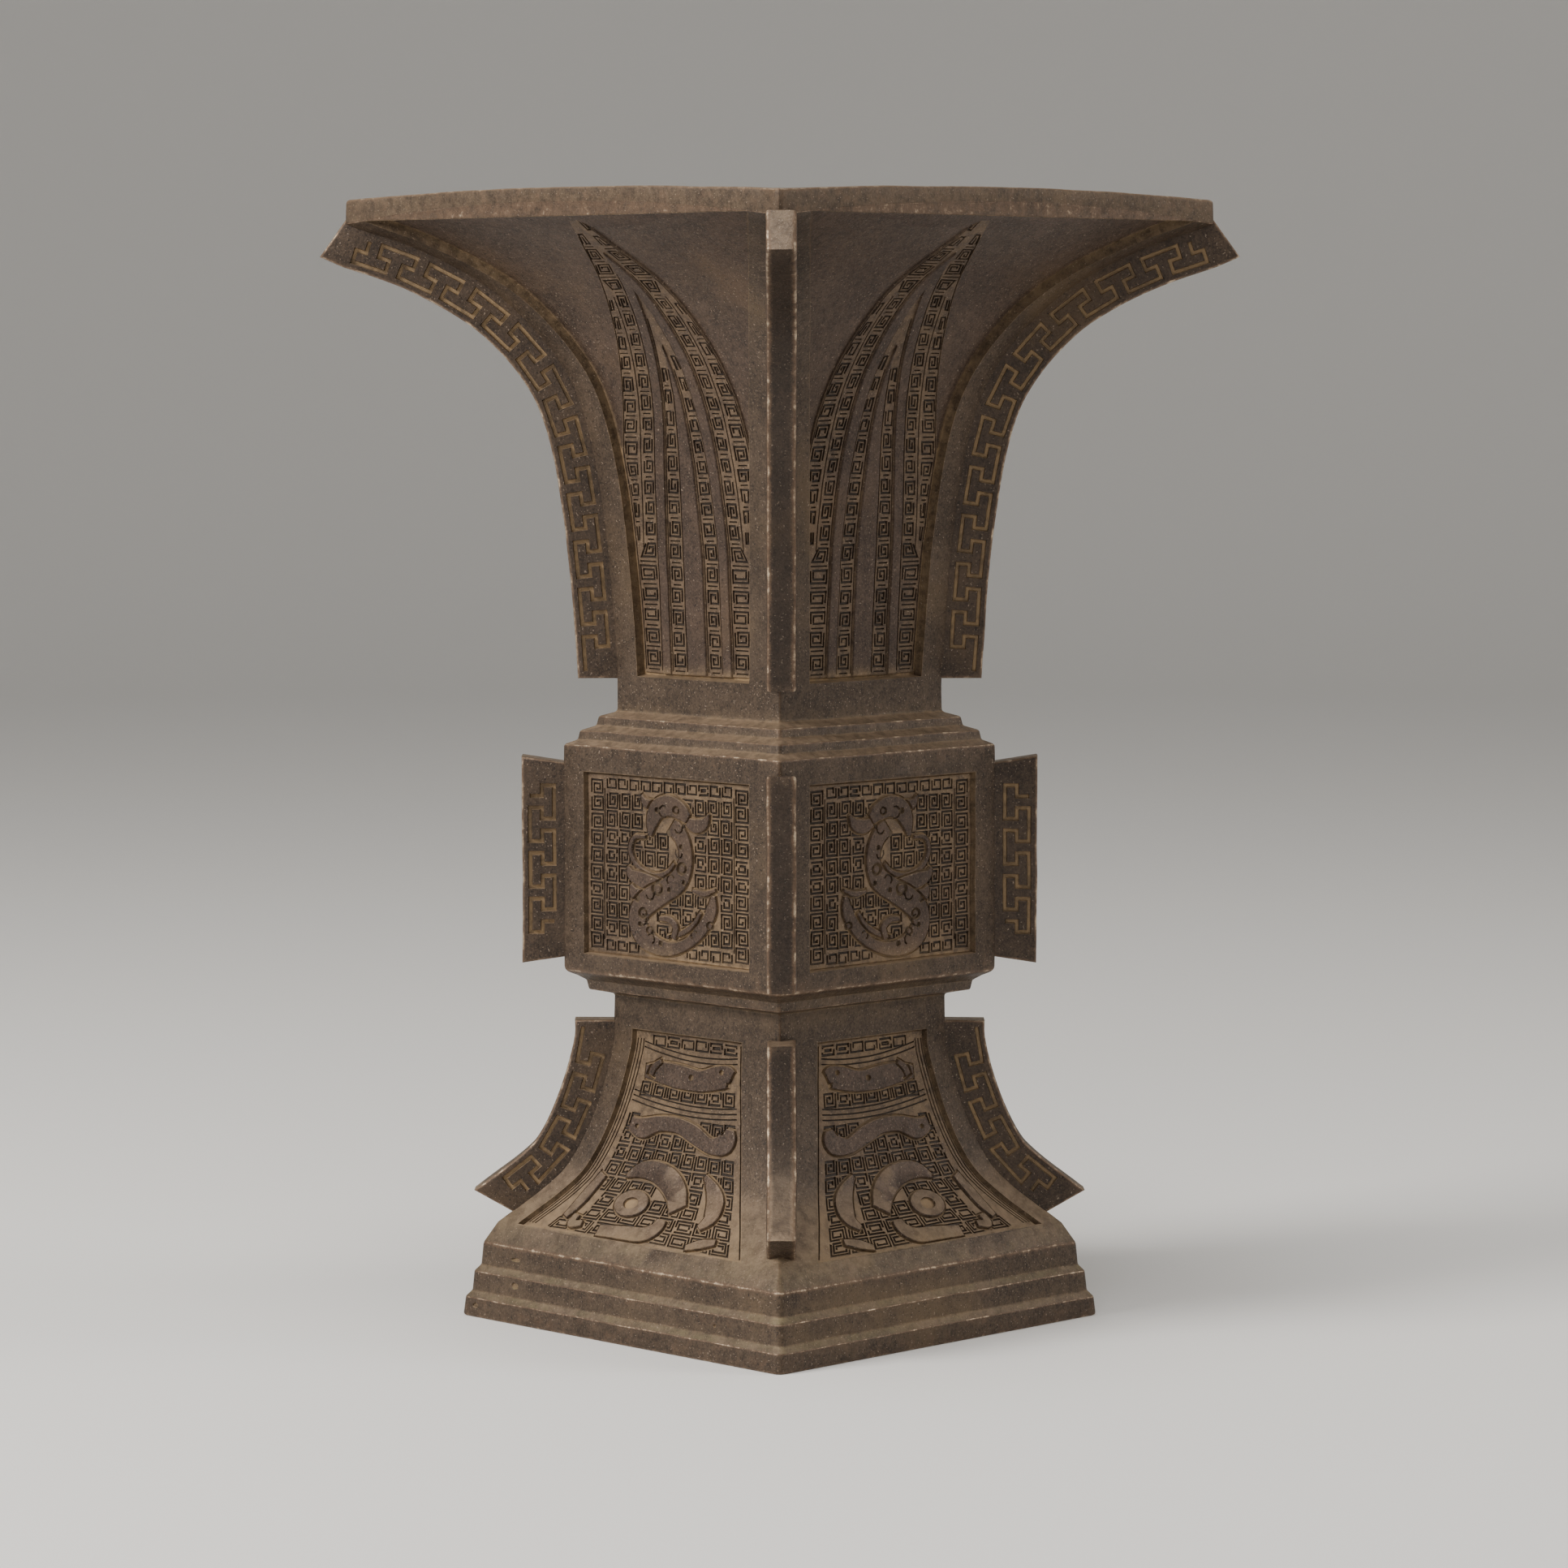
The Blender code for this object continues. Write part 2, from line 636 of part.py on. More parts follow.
def add_flange(tool, outline, edge, direction, shift):
    """One flange: a flat plate on a diagonal, with fret slots in both of its sides."""
    drawing = Drawing()
    drawing.line(outline, closed=True)
    for corners, ridge in fret_slots(edge):
        drawing.line(corners, closed=True)
        drawing.line(ridge)
        drawing.levels.append((ridge, -FRET_SLOT_DEPTH))
    points, heights, triangles = drawing.triangles()
    across = Vector((-direction.y, direction.x))
    sides = []
    for side in (-1, 1):
        verts = []
        for point, height in zip(points, heights):
            plan = direction * point.x + across * (shift + side * (FLANGE_THICKNESS / 2 + height))
            verts.append(tool.verts.new(Vector((plan.x, plan.y, point.y)) / 1000.0))
        sides.append(verts)
        for triangle in triangles:
            tool.faces.new([verts[i] for i in triangle])
    uses = {}
    for triangle in triangles:
        for a, b in zip(triangle, triangle[1:] + triangle[:1]):
            key = (min(a, b), max(a, b))
            uses[key] = uses.get(key, 0) + 1
    for (a, b), count in uses.items():
        if count == 1:
            tool.faces.new((sides[0][a], sides[0][b], sides[1][b], sides[1][a]))


def flange_outlines(profile):
    """The outlines of the neck, bulb and foot flanges, each with its outer edge."""
    z_at = {name: profile.rows[i][1] for name, i in profile.marks.items()}
    root = FLANGE_THICKNESS / 2 + SIDE_FLANGE_SHIFT + FLANGE_ROOT

    neck = corner_section(profile, "neck_bottom", "neck_top",
                          z_at["neck_bottom"] + NECK_FLANGE_RISE, z_at["neck_top"])
    neck_edge = moved_sideways(neck, FLANGE_REACH)
    neck_edge[0] = (neck[0][0] + FLANGE_REACH, neck[0][1])
    run = (Vector(neck_edge[-1]) - Vector(neck_edge[-2])).normalized()
    neck_edge[-1] = tuple(Vector(neck_edge[-1]) + run * NECK_FLANGE_TIP)
    neck_inner = [(r - root, z) for r, z in neck]
    neck_inner[-1] = (neck[-1][0] - root, neck[-1][1] + NECK_FLANGE_LET_IN)
    neck_inner.append((neck[-1][0], neck[-1][1] + NECK_FLANGE_LET_IN))

    bulb_corner = (BULB_HALF - OUTER_CORNER / 2) * ROOT_TWO
    low = z_at["bulb_bottom"] - BULB_EDGE + BULB_FLANGE_INSET + BULB_FLANGE_SLANT
    high = z_at["bulb_top"] - BULB_FLANGE_INSET - BULB_FLANGE_SLANT
    bulb_edge = [(bulb_corner + FLANGE_REACH, low - BULB_FLANGE_SLANT),
                 (bulb_corner + FLANGE_REACH, high + BULB_FLANGE_SLANT)]
    bulb_inner = [(bulb_corner - root, low), (bulb_corner - root, high)]

    foot = corner_section(profile, "foot_bottom", "foot_top",
                          z_at["foot_bottom"], z_at["foot_top"] - FOOT_FLANGE_DROP)
    foot_edge = moved_sideways(foot, FLANGE_REACH)
    foot_edge[-1] = (foot[-1][0] + FLANGE_REACH, foot[-1][1])
    foot_inner = [(r - root, z) for r, z in foot]
    outlines = []
    for edge, inner in ((neck_edge, neck_inner), (bulb_edge, bulb_inner), (foot_edge, foot_inner)):
        outlines.append((edge + inner[::-1], edge))
    return outlines


def build_flanges(profile):
    """All twelve flanges in one mesh, three on each corner."""
    tool = bmesh.new()
    outlines = flange_outlines(profile)
    for x, y, shift in ((1, -1, NEAR_FLANGE_SHIFT), (1, 1, SIDE_FLANGE_SHIFT),
                        (-1, 1, 0.0), (-1, -1, -SIDE_FLANGE_SHIFT)):
        direction = Vector((x, y)).normalized()
        for outline, edge in outlines:
            add_flange(tool, outline, edge, direction, shift)
    bmesh.ops.recalc_face_normals(tool, faces=tool.faces)
    mesh = bpy.data.meshes.new("flanges")
    tool.to_mesh(mesh)
    tool.free()
    return mesh


def bronze():
    """Dark brown patinated bronze."""
    material = bpy.data.materials.new("bronze")
    material.use_nodes = True
    shader = material.node_tree.nodes["Principled BSDF"]
    shader.inputs["Base Color"].default_value = (0.13, 0.095, 0.07, 1.0)
    shader.inputs["Metallic"].default_value = 0.6
    shader.inputs["Roughness"].default_value = 0.5
    return material


def without_slivers(mesh):
    """Closes up the hair-thin faces that the joint between plates and shell leaves."""
    surface = bmesh.new()
    surface.from_mesh(mesh)
    bmesh.ops.triangulate(surface, faces=surface.faces)
    bmesh.ops.remove_doubles(surface, verts=surface.verts, dist=SLIVER / 1000.0)
    bmesh.ops.dissolve_degenerate(surface, edges=surface.edges, dist=SLIVER / 1000.0)
    bmesh.ops.triangulate(surface, faces=surface.faces)
    surface.to_mesh(mesh)
    surface.free()


def build_vase():
    """The casting: shell and flanges joined into one solid."""
    profile = build_profile()
    profile_mesh = build_shell(profile)
    vase = bpy.data.objects.new("fanggu_vase", profile_mesh)
    bpy.context.scene.collection.objects.link(vase)
    flanges = bpy.data.objects.new("flange_tool", build_flanges(profile))
    bpy.context.scene.collection.objects.link(flanges)
    joint = vase.modifiers.new("flanges", "BOOLEAN")
    joint.operation = "UNION"
    joint.solver = "EXACT"
    joint.object = flanges
    settled = vase.evaluated_get(bpy.context.evaluated_depsgraph_get())
    casting = bpy.data.meshes.new_from_object(settled)
    without_slivers(casting)
    vase.modifiers.clear()
    vase.data = casting
    bpy.data.objects.remove(flanges)
    casting.materials.clear()
    casting.materials.append(bronze())


for existing in list(bpy.data.objects):
    bpy.data.objects.remove(existing)
build_vase()
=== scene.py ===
import math
import random
from functools import partial

import bmesh
import bpy
import numpy as np
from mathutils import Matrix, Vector, noise
from mathutils.geometry import delaunay_2d_cdt


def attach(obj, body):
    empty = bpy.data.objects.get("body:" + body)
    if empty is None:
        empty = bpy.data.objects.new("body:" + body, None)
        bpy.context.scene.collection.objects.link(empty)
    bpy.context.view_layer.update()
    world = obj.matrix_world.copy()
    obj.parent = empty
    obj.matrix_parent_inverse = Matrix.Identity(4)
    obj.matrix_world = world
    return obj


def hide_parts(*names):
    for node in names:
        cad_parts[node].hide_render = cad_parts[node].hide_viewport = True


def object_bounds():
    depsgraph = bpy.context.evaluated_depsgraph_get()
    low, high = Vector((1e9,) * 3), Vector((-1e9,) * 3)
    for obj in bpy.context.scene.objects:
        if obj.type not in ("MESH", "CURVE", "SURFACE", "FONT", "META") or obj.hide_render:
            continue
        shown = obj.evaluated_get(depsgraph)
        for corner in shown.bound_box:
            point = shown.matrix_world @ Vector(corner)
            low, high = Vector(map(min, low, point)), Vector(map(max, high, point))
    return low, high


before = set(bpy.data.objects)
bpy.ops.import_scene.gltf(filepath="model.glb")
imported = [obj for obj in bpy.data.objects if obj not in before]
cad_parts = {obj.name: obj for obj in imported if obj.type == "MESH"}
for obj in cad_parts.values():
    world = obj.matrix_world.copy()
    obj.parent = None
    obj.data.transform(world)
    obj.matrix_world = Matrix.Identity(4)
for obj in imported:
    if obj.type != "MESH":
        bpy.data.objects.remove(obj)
cad_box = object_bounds()


# The photograph's viewpoint: a long lens a little above the vase, looking at one of its corners.
# The floor is plain and pale and sweeps up into a wall far behind. The soft light comes mostly
# from the upper left, with little from the right.
VIEW_DISTANCE = 1.3464
VIEW_ELEVATION = math.radians(4.738)
LENS = 123.5
AIM_HEIGHT = 0.13433
AIM_ASIDE = 0.0011
FLOOR_SIDES = 96
FLOOR_RADIUS = 2.4
SWEEP_RADIUS = 1.4
SWEEP_TOP = 3.4
FLOOR_COLOUR = (0.80, 0.79, 0.77)
FLOOR_ROUGHNESS = 0.7
WORLD_COLOUR = (0.88, 0.87, 0.85)
WORLD_STRENGTH = 0.31

towards_camera = Vector((1.0, -1.0, 0.0)).normalized()
photo_right = Vector((1.0, 1.0, 0.0)).normalized()
up = Vector((0.0, 0.0, 1.0))

aim = up * AIM_HEIGHT + photo_right * AIM_ASIDE
sight = towards_camera * math.cos(VIEW_ELEVATION) + up * math.sin(VIEW_ELEVATION)
camera_data = bpy.data.cameras.new("camera")
camera_data.lens = LENS
camera_data.sensor_width = 36.0
camera_data.clip_start = 0.01
camera = bpy.data.objects.new("camera", camera_data)
camera.location = aim + sight * VIEW_DISTANCE
camera.rotation_euler = sight.to_track_quat("Z", "Y").to_euler()
bpy.context.scene.collection.objects.link(camera)
bpy.context.scene.camera = camera


def add_light(name, aside, forward, height, size, power, colour):
    """A square softbox, placed by its distance to the right of, before and above the base."""
    light = bpy.data.lights.new(name, "AREA")
    light.size = size
    light.energy = power
    light.color = colour
    box = bpy.data.objects.new(name, light)
    box.location = photo_right * aside + towards_camera * forward + up * height
    target = up * (0.5 * (cad_box[1][2] - cad_box[0][2]))
    box.rotation_euler = (box.location - target).to_track_quat("Z", "Y").to_euler()
    bpy.context.scene.collection.objects.link(box)


add_light("softbox_left", -1.15, 0.62, 0.86, 0.50, 24.0, (1.0, 0.96, 0.91))
add_light("softbox_right", 1.25, 0.10, 0.66, 0.50, 6.0, (1.0, 0.95, 0.89))
add_light("softbox_top", -0.10, 0.30, 1.50, 0.60, 11.0, (1.0, 0.98, 0.96))
add_light("softbox_front", -0.25, 1.45, 0.85, 0.70, 5.0, (1.0, 0.97, 0.94))


def fill(node, values):
    """Fill the inputs of a node: a socket is linked, a colour or a number is set."""
    for label, value in values.items():
        if isinstance(value, bpy.types.NodeSocket):
            node.id_data.links.new(value, node.inputs[label])
        else:
            given = (*value, 1.0) if isinstance(value, tuple) else value
            node.inputs[label].default_value = given


world = bpy.data.worlds.new("studio")
world.use_nodes = True
fill(world.node_tree.nodes["Background"], {"Color": WORLD_COLOUR, "Strength": WORLD_STRENGTH})
bpy.context.scene.world = world

surface = bmesh.new()
turns = [math.radians(360.0 / FLOOR_SIDES * k) for k in range(FLOOR_SIDES)]
profile = [(FLOOR_RADIUS + SWEEP_RADIUS * math.sin(math.radians(a)),
            SWEEP_RADIUS * (1.0 - math.cos(math.radians(a)))) for a in range(0, 91, 10)]
profile.append((FLOOR_RADIUS + SWEEP_RADIUS, SWEEP_TOP))
rings = [[surface.verts.new((r * math.cos(turn), r * math.sin(turn), z)) for turn in turns]
         for r, z in profile]
surface.faces.new(rings[0])
for inner, outer in zip(rings, rings[1:]):
    for k in range(FLOOR_SIDES):
        surface.faces.new((inner[k - 1], outer[k - 1], outer[k], inner[k]))
for face in surface.faces:
    face.smooth = True
floor_mesh = bpy.data.meshes.new("floor")
surface.to_mesh(floor_mesh)
surface.free()
floor = bpy.data.objects.new("floor", floor_mesh)
bpy.context.scene.collection.objects.link(floor)
floor_paint = bpy.data.materials.new("pale_floor")
floor_paint.use_nodes = True
fill(floor_paint.node_tree.nodes["Principled BSDF"],
     {"Base Color": FLOOR_COLOUR, "Roughness": FLOOR_ROUGHNESS})
floor.data.materials.append(floor_paint)


# The vessel: plinth, flared foot, bulb, neck and lip, one hollow bronze casting. Its steps and
# corners are softly rounded by the wax model and by wear, its walls wave a little, and every
# wall has three sunk panels. All sizes here are millimetres.
BASE_HALF = 57.0
STEP_RISERS = (4.8, 4.9, 5.6)
STEP_DRAFT = 0.4
LEDGE_WIDTH = 1.2
LEDGE_RISE = 1.65
STEP_ROUNDINGS = (1.2, 1.1, 1.2, 1.1, 3.2)
SHOULDER_WIDTH = 3.0
SHOULDER_RISE = 4.9
FLARE_HEIGHT = 52.6
FLARE_SHARES = ((0.57, 0.185), (0.355, 0.32), (0.155, 0.56), (0.012, 0.85), (0.0, 1.0))
WAIST_HALF = 29.6
WAIST_HEIGHT = 5.6
UNDER_STEP_HALF = 34.6
UNDER_STEP_HEIGHT = 3.4
BULB_HALF = 38.8
BULB_HEIGHT = 59.3
BULB_EDGE = 2.6
UPPER_STEP_HALVES = (36.0, 32.7)
UPPER_STEP_HEIGHT = 3.5
STEP_SLOPE = 1.2
BULB_ROUNDINGS = (0.9, 0.5, 0.7, 0.6, 2.4, 1.0, 0.8, 0.9, 0.8, 0.9)
NECK_HALF = 28.9
NECK_HEIGHT = 121.0
NECK_SHARES = ((0.0, 0.0), (0.002, 0.10), (0.041, 0.366), (0.112, 0.593), (0.223, 0.729),
               (0.428, 0.852), (0.705, 0.942), (1.0, 1.0))
LIP_HALF = 76.6
LIP_HEIGHT = 6.1
RIM_ARCH = 1.7
LIP_ARCH = 4.2
ARCH_START = 60.0
WALL = 4.6
RIM_WALL = 4.0
FLOOR_THICKNESS = 4.5
FOOT_RIM_WALL = 5.0
INNER_CORNER = 4.4
BASE_CORNER = 2.1
FLARE_CORNER = 0.7
WAIST_CORNER = 0.9
BULB_CORNER = 1.1
NECK_CORNER = 0.8
LIP_FOOT_CORNER = 1.6
RIM_CORNER = 1.9
RIM_INSIDE_CORNER = 2.2
MARGIN_NEAR = 10.4
MARGIN_FAR = 7.8
FOOT_MARGIN_NEAR = 13.2
FOOT_MARGIN_FAR = 7.0
NECK_PANEL_FOOT = 8.2
BULB_PANEL_FOOT = 6.4
BULB_PANEL_HEAD = 7.0
FOOT_PANEL_FOOT = 0.6
FOOT_PANEL_HEAD = 2.8
NECK_RECESS = 2.4
BULB_RECESS = 1.7
FOOT_RECESS = 1.6
RECESS_SLOPE = 0.35
BEDDING = 0.35
FLANGE_THICKNESS = 7.2
SIDE_FLANGE_SHIFT = 3.2
FLANGE_CLEARANCE = 1.2
COLUMN_WIDTH = 4.5
CORNER_STEPS = 6
WAVE = 0.16
WAVE_LENGTH = 16.0
WAVE_SEED = 7
CHIP_DEPTH = 0.38
LIP_STEP = (0.0, 0.3, 0.6, 0.7, 0.0, 0.0, 0.0)
CHIPS = ((-38.5, 9.4, 1.5, 1.1), (-40.0, 15.6, 1.9, 0.7), (-51.5, 3.0, 1.3, 0.9),
         (33.0, 8.6, 0.8, 0.5))


def smooth_curve(points, pieces):
    """A Catmull and Rom curve through the points, each span cut into pieces."""
    first = [2 * a - b for a, b in zip(points[0], points[1])]
    last = [2 * a - b for a, b in zip(points[-1], points[-2])]
    guide = [first] + [list(p) for p in points] + [last]
    curve = []
    for i in range(1, len(guide) - 2):
        for k in range(pieces):
            t = k / pieces
            curve.append(tuple(
                0.5 * (2 * b + (c - a) * t + (2 * a - 5 * b + 4 * c - d) * t ** 2
                       + (3 * b - a - 3 * c + d) * t ** 3)
                for a, b, c, d in zip(*guide[i - 1:i + 3])))
    curve.append(tuple(points[-1]))
    return curve


class Section:
    """One wall's section from the foot hollow, up the outside and down into the vessel.

    A row holds half width, height, corner radius, wear with painted highlight, and hollow. Sharp
    turns of the section are rounded: outward ones are worn bright and carry a painted highlight,
    inward ones gather deposit.
    """

    def __init__(self):
        self.rows = []
        self.marks = {}

    def add(self, half, z, corner, wear_and_highlight=0.0, hollow=0.0):
        self.rows.append((half, z, corner, wear_and_highlight, hollow))

    def bend(self, before, at, after, radius, corner, pieces=4):
        """A rounded turn of the section at a point, between two neighbours."""
        here = Vector(at)
        into = (here - Vector(before)).normalized()
        out = (Vector(after) - here).normalized()
        turn = into.x * out.y - into.y * out.x
        room = 0.45 * min((here - Vector(before)).length, (Vector(after) - here).length)
        reach = min(radius * math.tan(into.angle(out, 0.0) / 2), room)
        start = here - into * reach
        end = here + out * reach
        for k in range(pieces + 1):
            t = k / pieces
            point = start * (1 - t) ** 2 + here * 2 * t * (1 - t) + end * t ** 2
            middle = 1.0 - abs(2 * t - 1.0)
            # Outward turns: rubbed metal with a painted highlight along the arris.
            wear_and_highlight = 0.35 + 0.65 * middle if turn > 0 else 0.0
            hollow = 0.15 + 0.35 * middle if turn < 0 else 0.0
            self.add(point.x, point.y, corner, wear_and_highlight, hollow)

    def mark(self, name):
        self.marks[name] = len(self.rows) - 1

    def finish(self):
        """Drop doubled rows, then measure the lengths and the normals up the section."""
        table = np.array(self.rows)
        steps = np.hypot(np.diff(table[:, 0]), np.diff(table[:, 1]))
        keep = np.concatenate([[True], steps > 0.02])
        self.marks = {name: int(keep[:i + 1].sum()) - 1 for name, i in self.marks.items()}
        self.table = table[keep]
        run = np.diff(self.table[:, :2], axis=0)
        size = np.hypot(run[:, 0], run[:, 1])
        self.lengths = np.concatenate([[0.0], np.cumsum(size)])
        facing = np.stack([run[:, 1], -run[:, 0]], axis=1) / size[:, None]
        normals = np.vstack([facing[:1], facing[:-1] + facing[1:], facing[-1:]])
        self.normals = normals / np.linalg.norm(normals, axis=1)[:, None]

    def at(self, v):
        """Columns of half width, height, corner, wear, hollow and normal at lengths v."""
        columns = [np.interp(v, self.lengths, self.table[:, k]) for k in range(5)]
        columns += [np.interp(v, self.lengths, self.normals[:, k]) for k in range(2)]
        return columns

    def length_at(self, z, first, last):
        """Length up the wall where the stretch between two marks reaches a height."""
        i, j = self.marks[first], self.marks[last] + 1
        return float(np.interp(z, self.table[i:j, 1], self.lengths[i:j]))


def moved_sideways(line, distance):
    """A line moved to its right by a distance, or to its left where that is negative."""
    moved = []
    for i, point in enumerate(line):
        before = Vector(line[max(i - 1, 0)])
        after = Vector(line[min(i + 1, len(line) - 1)])
        step = (after - before).normalized()
        moved.append((point[0] + step.y * distance, point[1] - step.x * distance))
    return moved


def vessel_section():
    """The whole section, with the marks that panels and flanges are placed by."""
    half = BASE_HALF
    z = 0.0
    steps = [(half, z)]
    for riser in STEP_RISERS:
        half -= STEP_DRAFT
        z += riser
        steps.append((half, z))
        if riser is not STEP_RISERS[-1]:
            half -= LEDGE_WIDTH
            z += LEDGE_RISE
            steps.append((half, z))
    shoulder = (half - SHOULDER_WIDTH, z + SHOULDER_RISE)
    drop = shoulder[0] - WAIST_HALF
    flare = smooth_curve([shoulder] + [
        (WAIST_HALF + out * drop, shoulder[1] + rise * FLARE_HEIGHT)
        for out, rise in FLARE_SHARES], 5)
    waist_top = flare[-1][1] + WAIST_HEIGHT
    bulb_foot = waist_top + UNDER_STEP_HEIGHT + STEP_SLOPE
    bulb_top = bulb_foot + BULB_HEIGHT - STEP_SLOPE
    bulb = [
        (WAIST_HALF, waist_top),
        (UNDER_STEP_HALF - STEP_DRAFT, waist_top + 1.0),
        (UNDER_STEP_HALF, waist_top + UNDER_STEP_HEIGHT),
        (BULB_HALF - BULB_EDGE, bulb_foot),
        (BULB_HALF - 0.12 * BULB_EDGE, bulb_foot + 0.45 * BULB_EDGE),
        (BULB_HALF - STEP_DRAFT, bulb_top)]
    z = bulb_top
    for step_half in UPPER_STEP_HALVES:
        z += STEP_SLOPE
        bulb.append((step_half, z))
        z += UPPER_STEP_HEIGHT - STEP_SLOPE
        bulb.append((step_half - STEP_DRAFT, z))
    neck_foot = z + STEP_SLOPE
    neck = smooth_curve([
        (NECK_HALF + out * (LIP_HALF - NECK_HALF), neck_foot + rise * NECK_HEIGHT)
        for out, rise in NECK_SHARES], 6)
    lip_top = neck[-1][1] + LIP_HEIGHT

    section = Section()
    ceiling = waist_top + 0.5
    hollow = [p for p in moved_sideways(flare, -WALL) if p[1] < ceiling - 6.0]
    section.add(hollow[-1][0], ceiling, INNER_CORNER)
    for point in reversed(hollow[:-1]):
        section.add(*point, INNER_CORNER)
    inner_rim = (BASE_HALF - FOOT_RIM_WALL, 0.0)
    section.bend(hollow[0], inner_rim, steps[0], 0.8, INNER_CORNER)
    section.bend(inner_rim, steps[0], steps[1], 0.7, 2.0)
    section.mark("base")
    outer = steps + [shoulder]
    for i, radius in enumerate(STEP_ROUNDINGS, 1):
        section.bend(outer[i - 1], outer[i], outer[i + 1], radius, BASE_CORNER)
    for i, point in enumerate(flare):
        section.add(*point, FLARE_CORNER)
        if i == 0:
            section.mark("foot_bottom")
    section.mark("foot_top")
    line = bulb + [(NECK_HALF, neck_foot)]
    before = flare[-1]
    for i, radius in enumerate(BULB_ROUNDINGS):
        section.bend(before, line[i], line[i + 1], radius, BULB_CORNER if i else WAIST_CORNER)
        before = line[i]
        if i == 4:
            section.mark("bulb_bottom")
            start, end = Vector(line[4]), Vector(line[5])
            for k in range(1, 16):
                point = start.lerp(end, 0.06 + 0.9 * k / 16)
                section.add(point.x, point.y, BULB_CORNER)
        if i == 5:
            section.mark("bulb_top")
    section.bend(before, line[-1], neck[1], 1.6, NECK_CORNER)
    section.mark("neck_bottom")
    for point in neck[2:-1]:
        section.add(*point, NECK_CORNER)
    lip_edge, lip_inside = (LIP_HALF, lip_top), (LIP_HALF - RIM_WALL, lip_top)
    section.bend(neck[-2], neck[-1], lip_edge, 0.5, LIP_FOOT_CORNER)
    section.mark("neck_top")
    section.bend(neck[-1], lip_edge, lip_inside, 1.1, RIM_CORNER)
    section.mark("rim_outside")
    inner_neck = [p for p in moved_sideways(neck, -WALL)
                  if p[1] > bulb_top and p[0] < LIP_HALF - RIM_WALL - WALL]
    section.bend(lip_edge, lip_inside, inner_neck[-1], 1.2, RIM_INSIDE_CORNER)
    section.mark("rim_inside")
    for point in reversed(inner_neck[::2]):
        section.add(*point, INNER_CORNER)
    floor_z = ceiling + FLOOR_THICKNESS
    section.add(BULB_HALF - WALL - STEP_DRAFT, bulb_top - 1.5 * WALL, INNER_CORNER)
    section.add(BULB_HALF - WALL, floor_z + 0.6 * WALL, INNER_CORNER)
    section.add(BULB_HALF - 1.9 * WALL, floor_z, INNER_CORNER, 0.0, 0.5)
    section.finish()
    lip = slice(section.marks["neck_top"], section.marks["rim_inside"])
    section.table[lip, 4] = np.maximum(section.table[lip, 4], 0.22)
    return section


def inside_or_on(outline, points):
    """Which of the points lie inside a closed outline or on its line."""
    shape = np.array(outline)
    low, high = shape.min(axis=0) - 0.01, shape.max(axis=0) + 0.01
    near = np.nonzero(np.all((points >= low) & (points <= high), axis=1))[0]
    x, y = points[near, 0], points[near, 1]
    inside = np.zeros(len(near), bool)
    touching = np.zeros(len(near), bool)
    for (ax, ay), (bx, by) in zip(np.roll(shape, 1, axis=0), shape):
        run, rise = bx - ax, by - ay
        size = max(run * run + rise * rise, 1e-12)
        t = np.clip(((x - ax) * run + (y - ay) * rise) / size, 0.0, 1.0)
        touching |= np.hypot(ax + t * run - x, ay + t * rise - y) < 0.002
        if rise:
            crosses = ((ay > y) != (by > y)) & (x < ax + (y - ay) * run / rise)
            inside ^= crosses
    return near[inside | touching]


def drawn_inwards(outline, distance):
    """A closed outline moved inwards, whichever way round it runs."""
    shape = np.array(outline)
    before = shape - np.roll(shape, 1, axis=0)
    after = np.roll(before, -1, axis=0)
    before /= np.linalg.norm(before, axis=1)[:, None]
    after /= np.linalg.norm(after, axis=1)[:, None]
    x, y = shape[:, 0], shape[:, 1]
    turn = np.sign(np.sum(x * np.roll(y, -1) - np.roll(x, -1) * y))
    bisector = np.stack([-before[:, 1] - after[:, 1], before[:, 0] + after[:, 0]], axis=1)
    bisector *= turn / np.linalg.norm(bisector, axis=1)[:, None]
    cosine = np.abs(bisector[:, 1] * before[:, 0] - bisector[:, 0] * before[:, 1])
    return shape + bisector * (distance / np.maximum(cosine, 0.5))[:, None]


class Drawing:
    """A flat drawing of one surface: lines, and areas that set height and finish."""

    def __init__(self):
        self.points = []
        self.lines = []
        self.areas = []

    def line(self, points, closed=False):
        start = len(self.points)
        self.points += [Vector((float(x), float(y))) for x, y in points]
        count = len(points)
        for k in range(count if closed else count - 1):
            self.lines.append((start + k, start + (k + 1) % count))

    def area(self, outline, height, hollow=0.0, shade=0.0, wear_and_highlight=0.0, drawn=True):
        """Everything inside the outline stands at the height and takes the finish."""
        if drawn:
            self.line(outline, closed=True)
        self.areas.append((outline, height, hollow, shade, wear_and_highlight))

    def triangles(self):
        """Points, triangles, and a row of height, hollow, painted shade, and wear with painted
        highlight for every point.
        """
        found = delaunay_2d_cdt(self.points, self.lines, [], 1, 1e-4)
        points = np.array([tuple(p) for p in found[0]])
        finish = np.zeros((len(points), 4))
        for outline, *values in self.areas:
            finish[inside_or_on(outline, points)] = values
        return points, [tuple(t) for t in found[2]], finish


def arch(s, v):
    """How much higher the wall stands here than at its corners, close to the lip."""
    half = section.at(v)[0]
    foot = lengths[marks["neck_top"]]
    reach = np.clip((half - ARCH_START) / (LIP_HALF - ARCH_START), 0.0, 1.0)
    share = np.clip((v - foot) / LIP_HEIGHT, 0.0, 1.0)
    on_lip = (v > foot) & (v < lengths[marks["rim_inside"]] + 0.01)
    rise = np.where(on_lip, LIP_ARCH + share * (RIM_ARCH - LIP_ARCH), LIP_ARCH * reach ** 1.5)
    return rise * np.maximum(0.0, 1.0 - (s / half) ** 2)


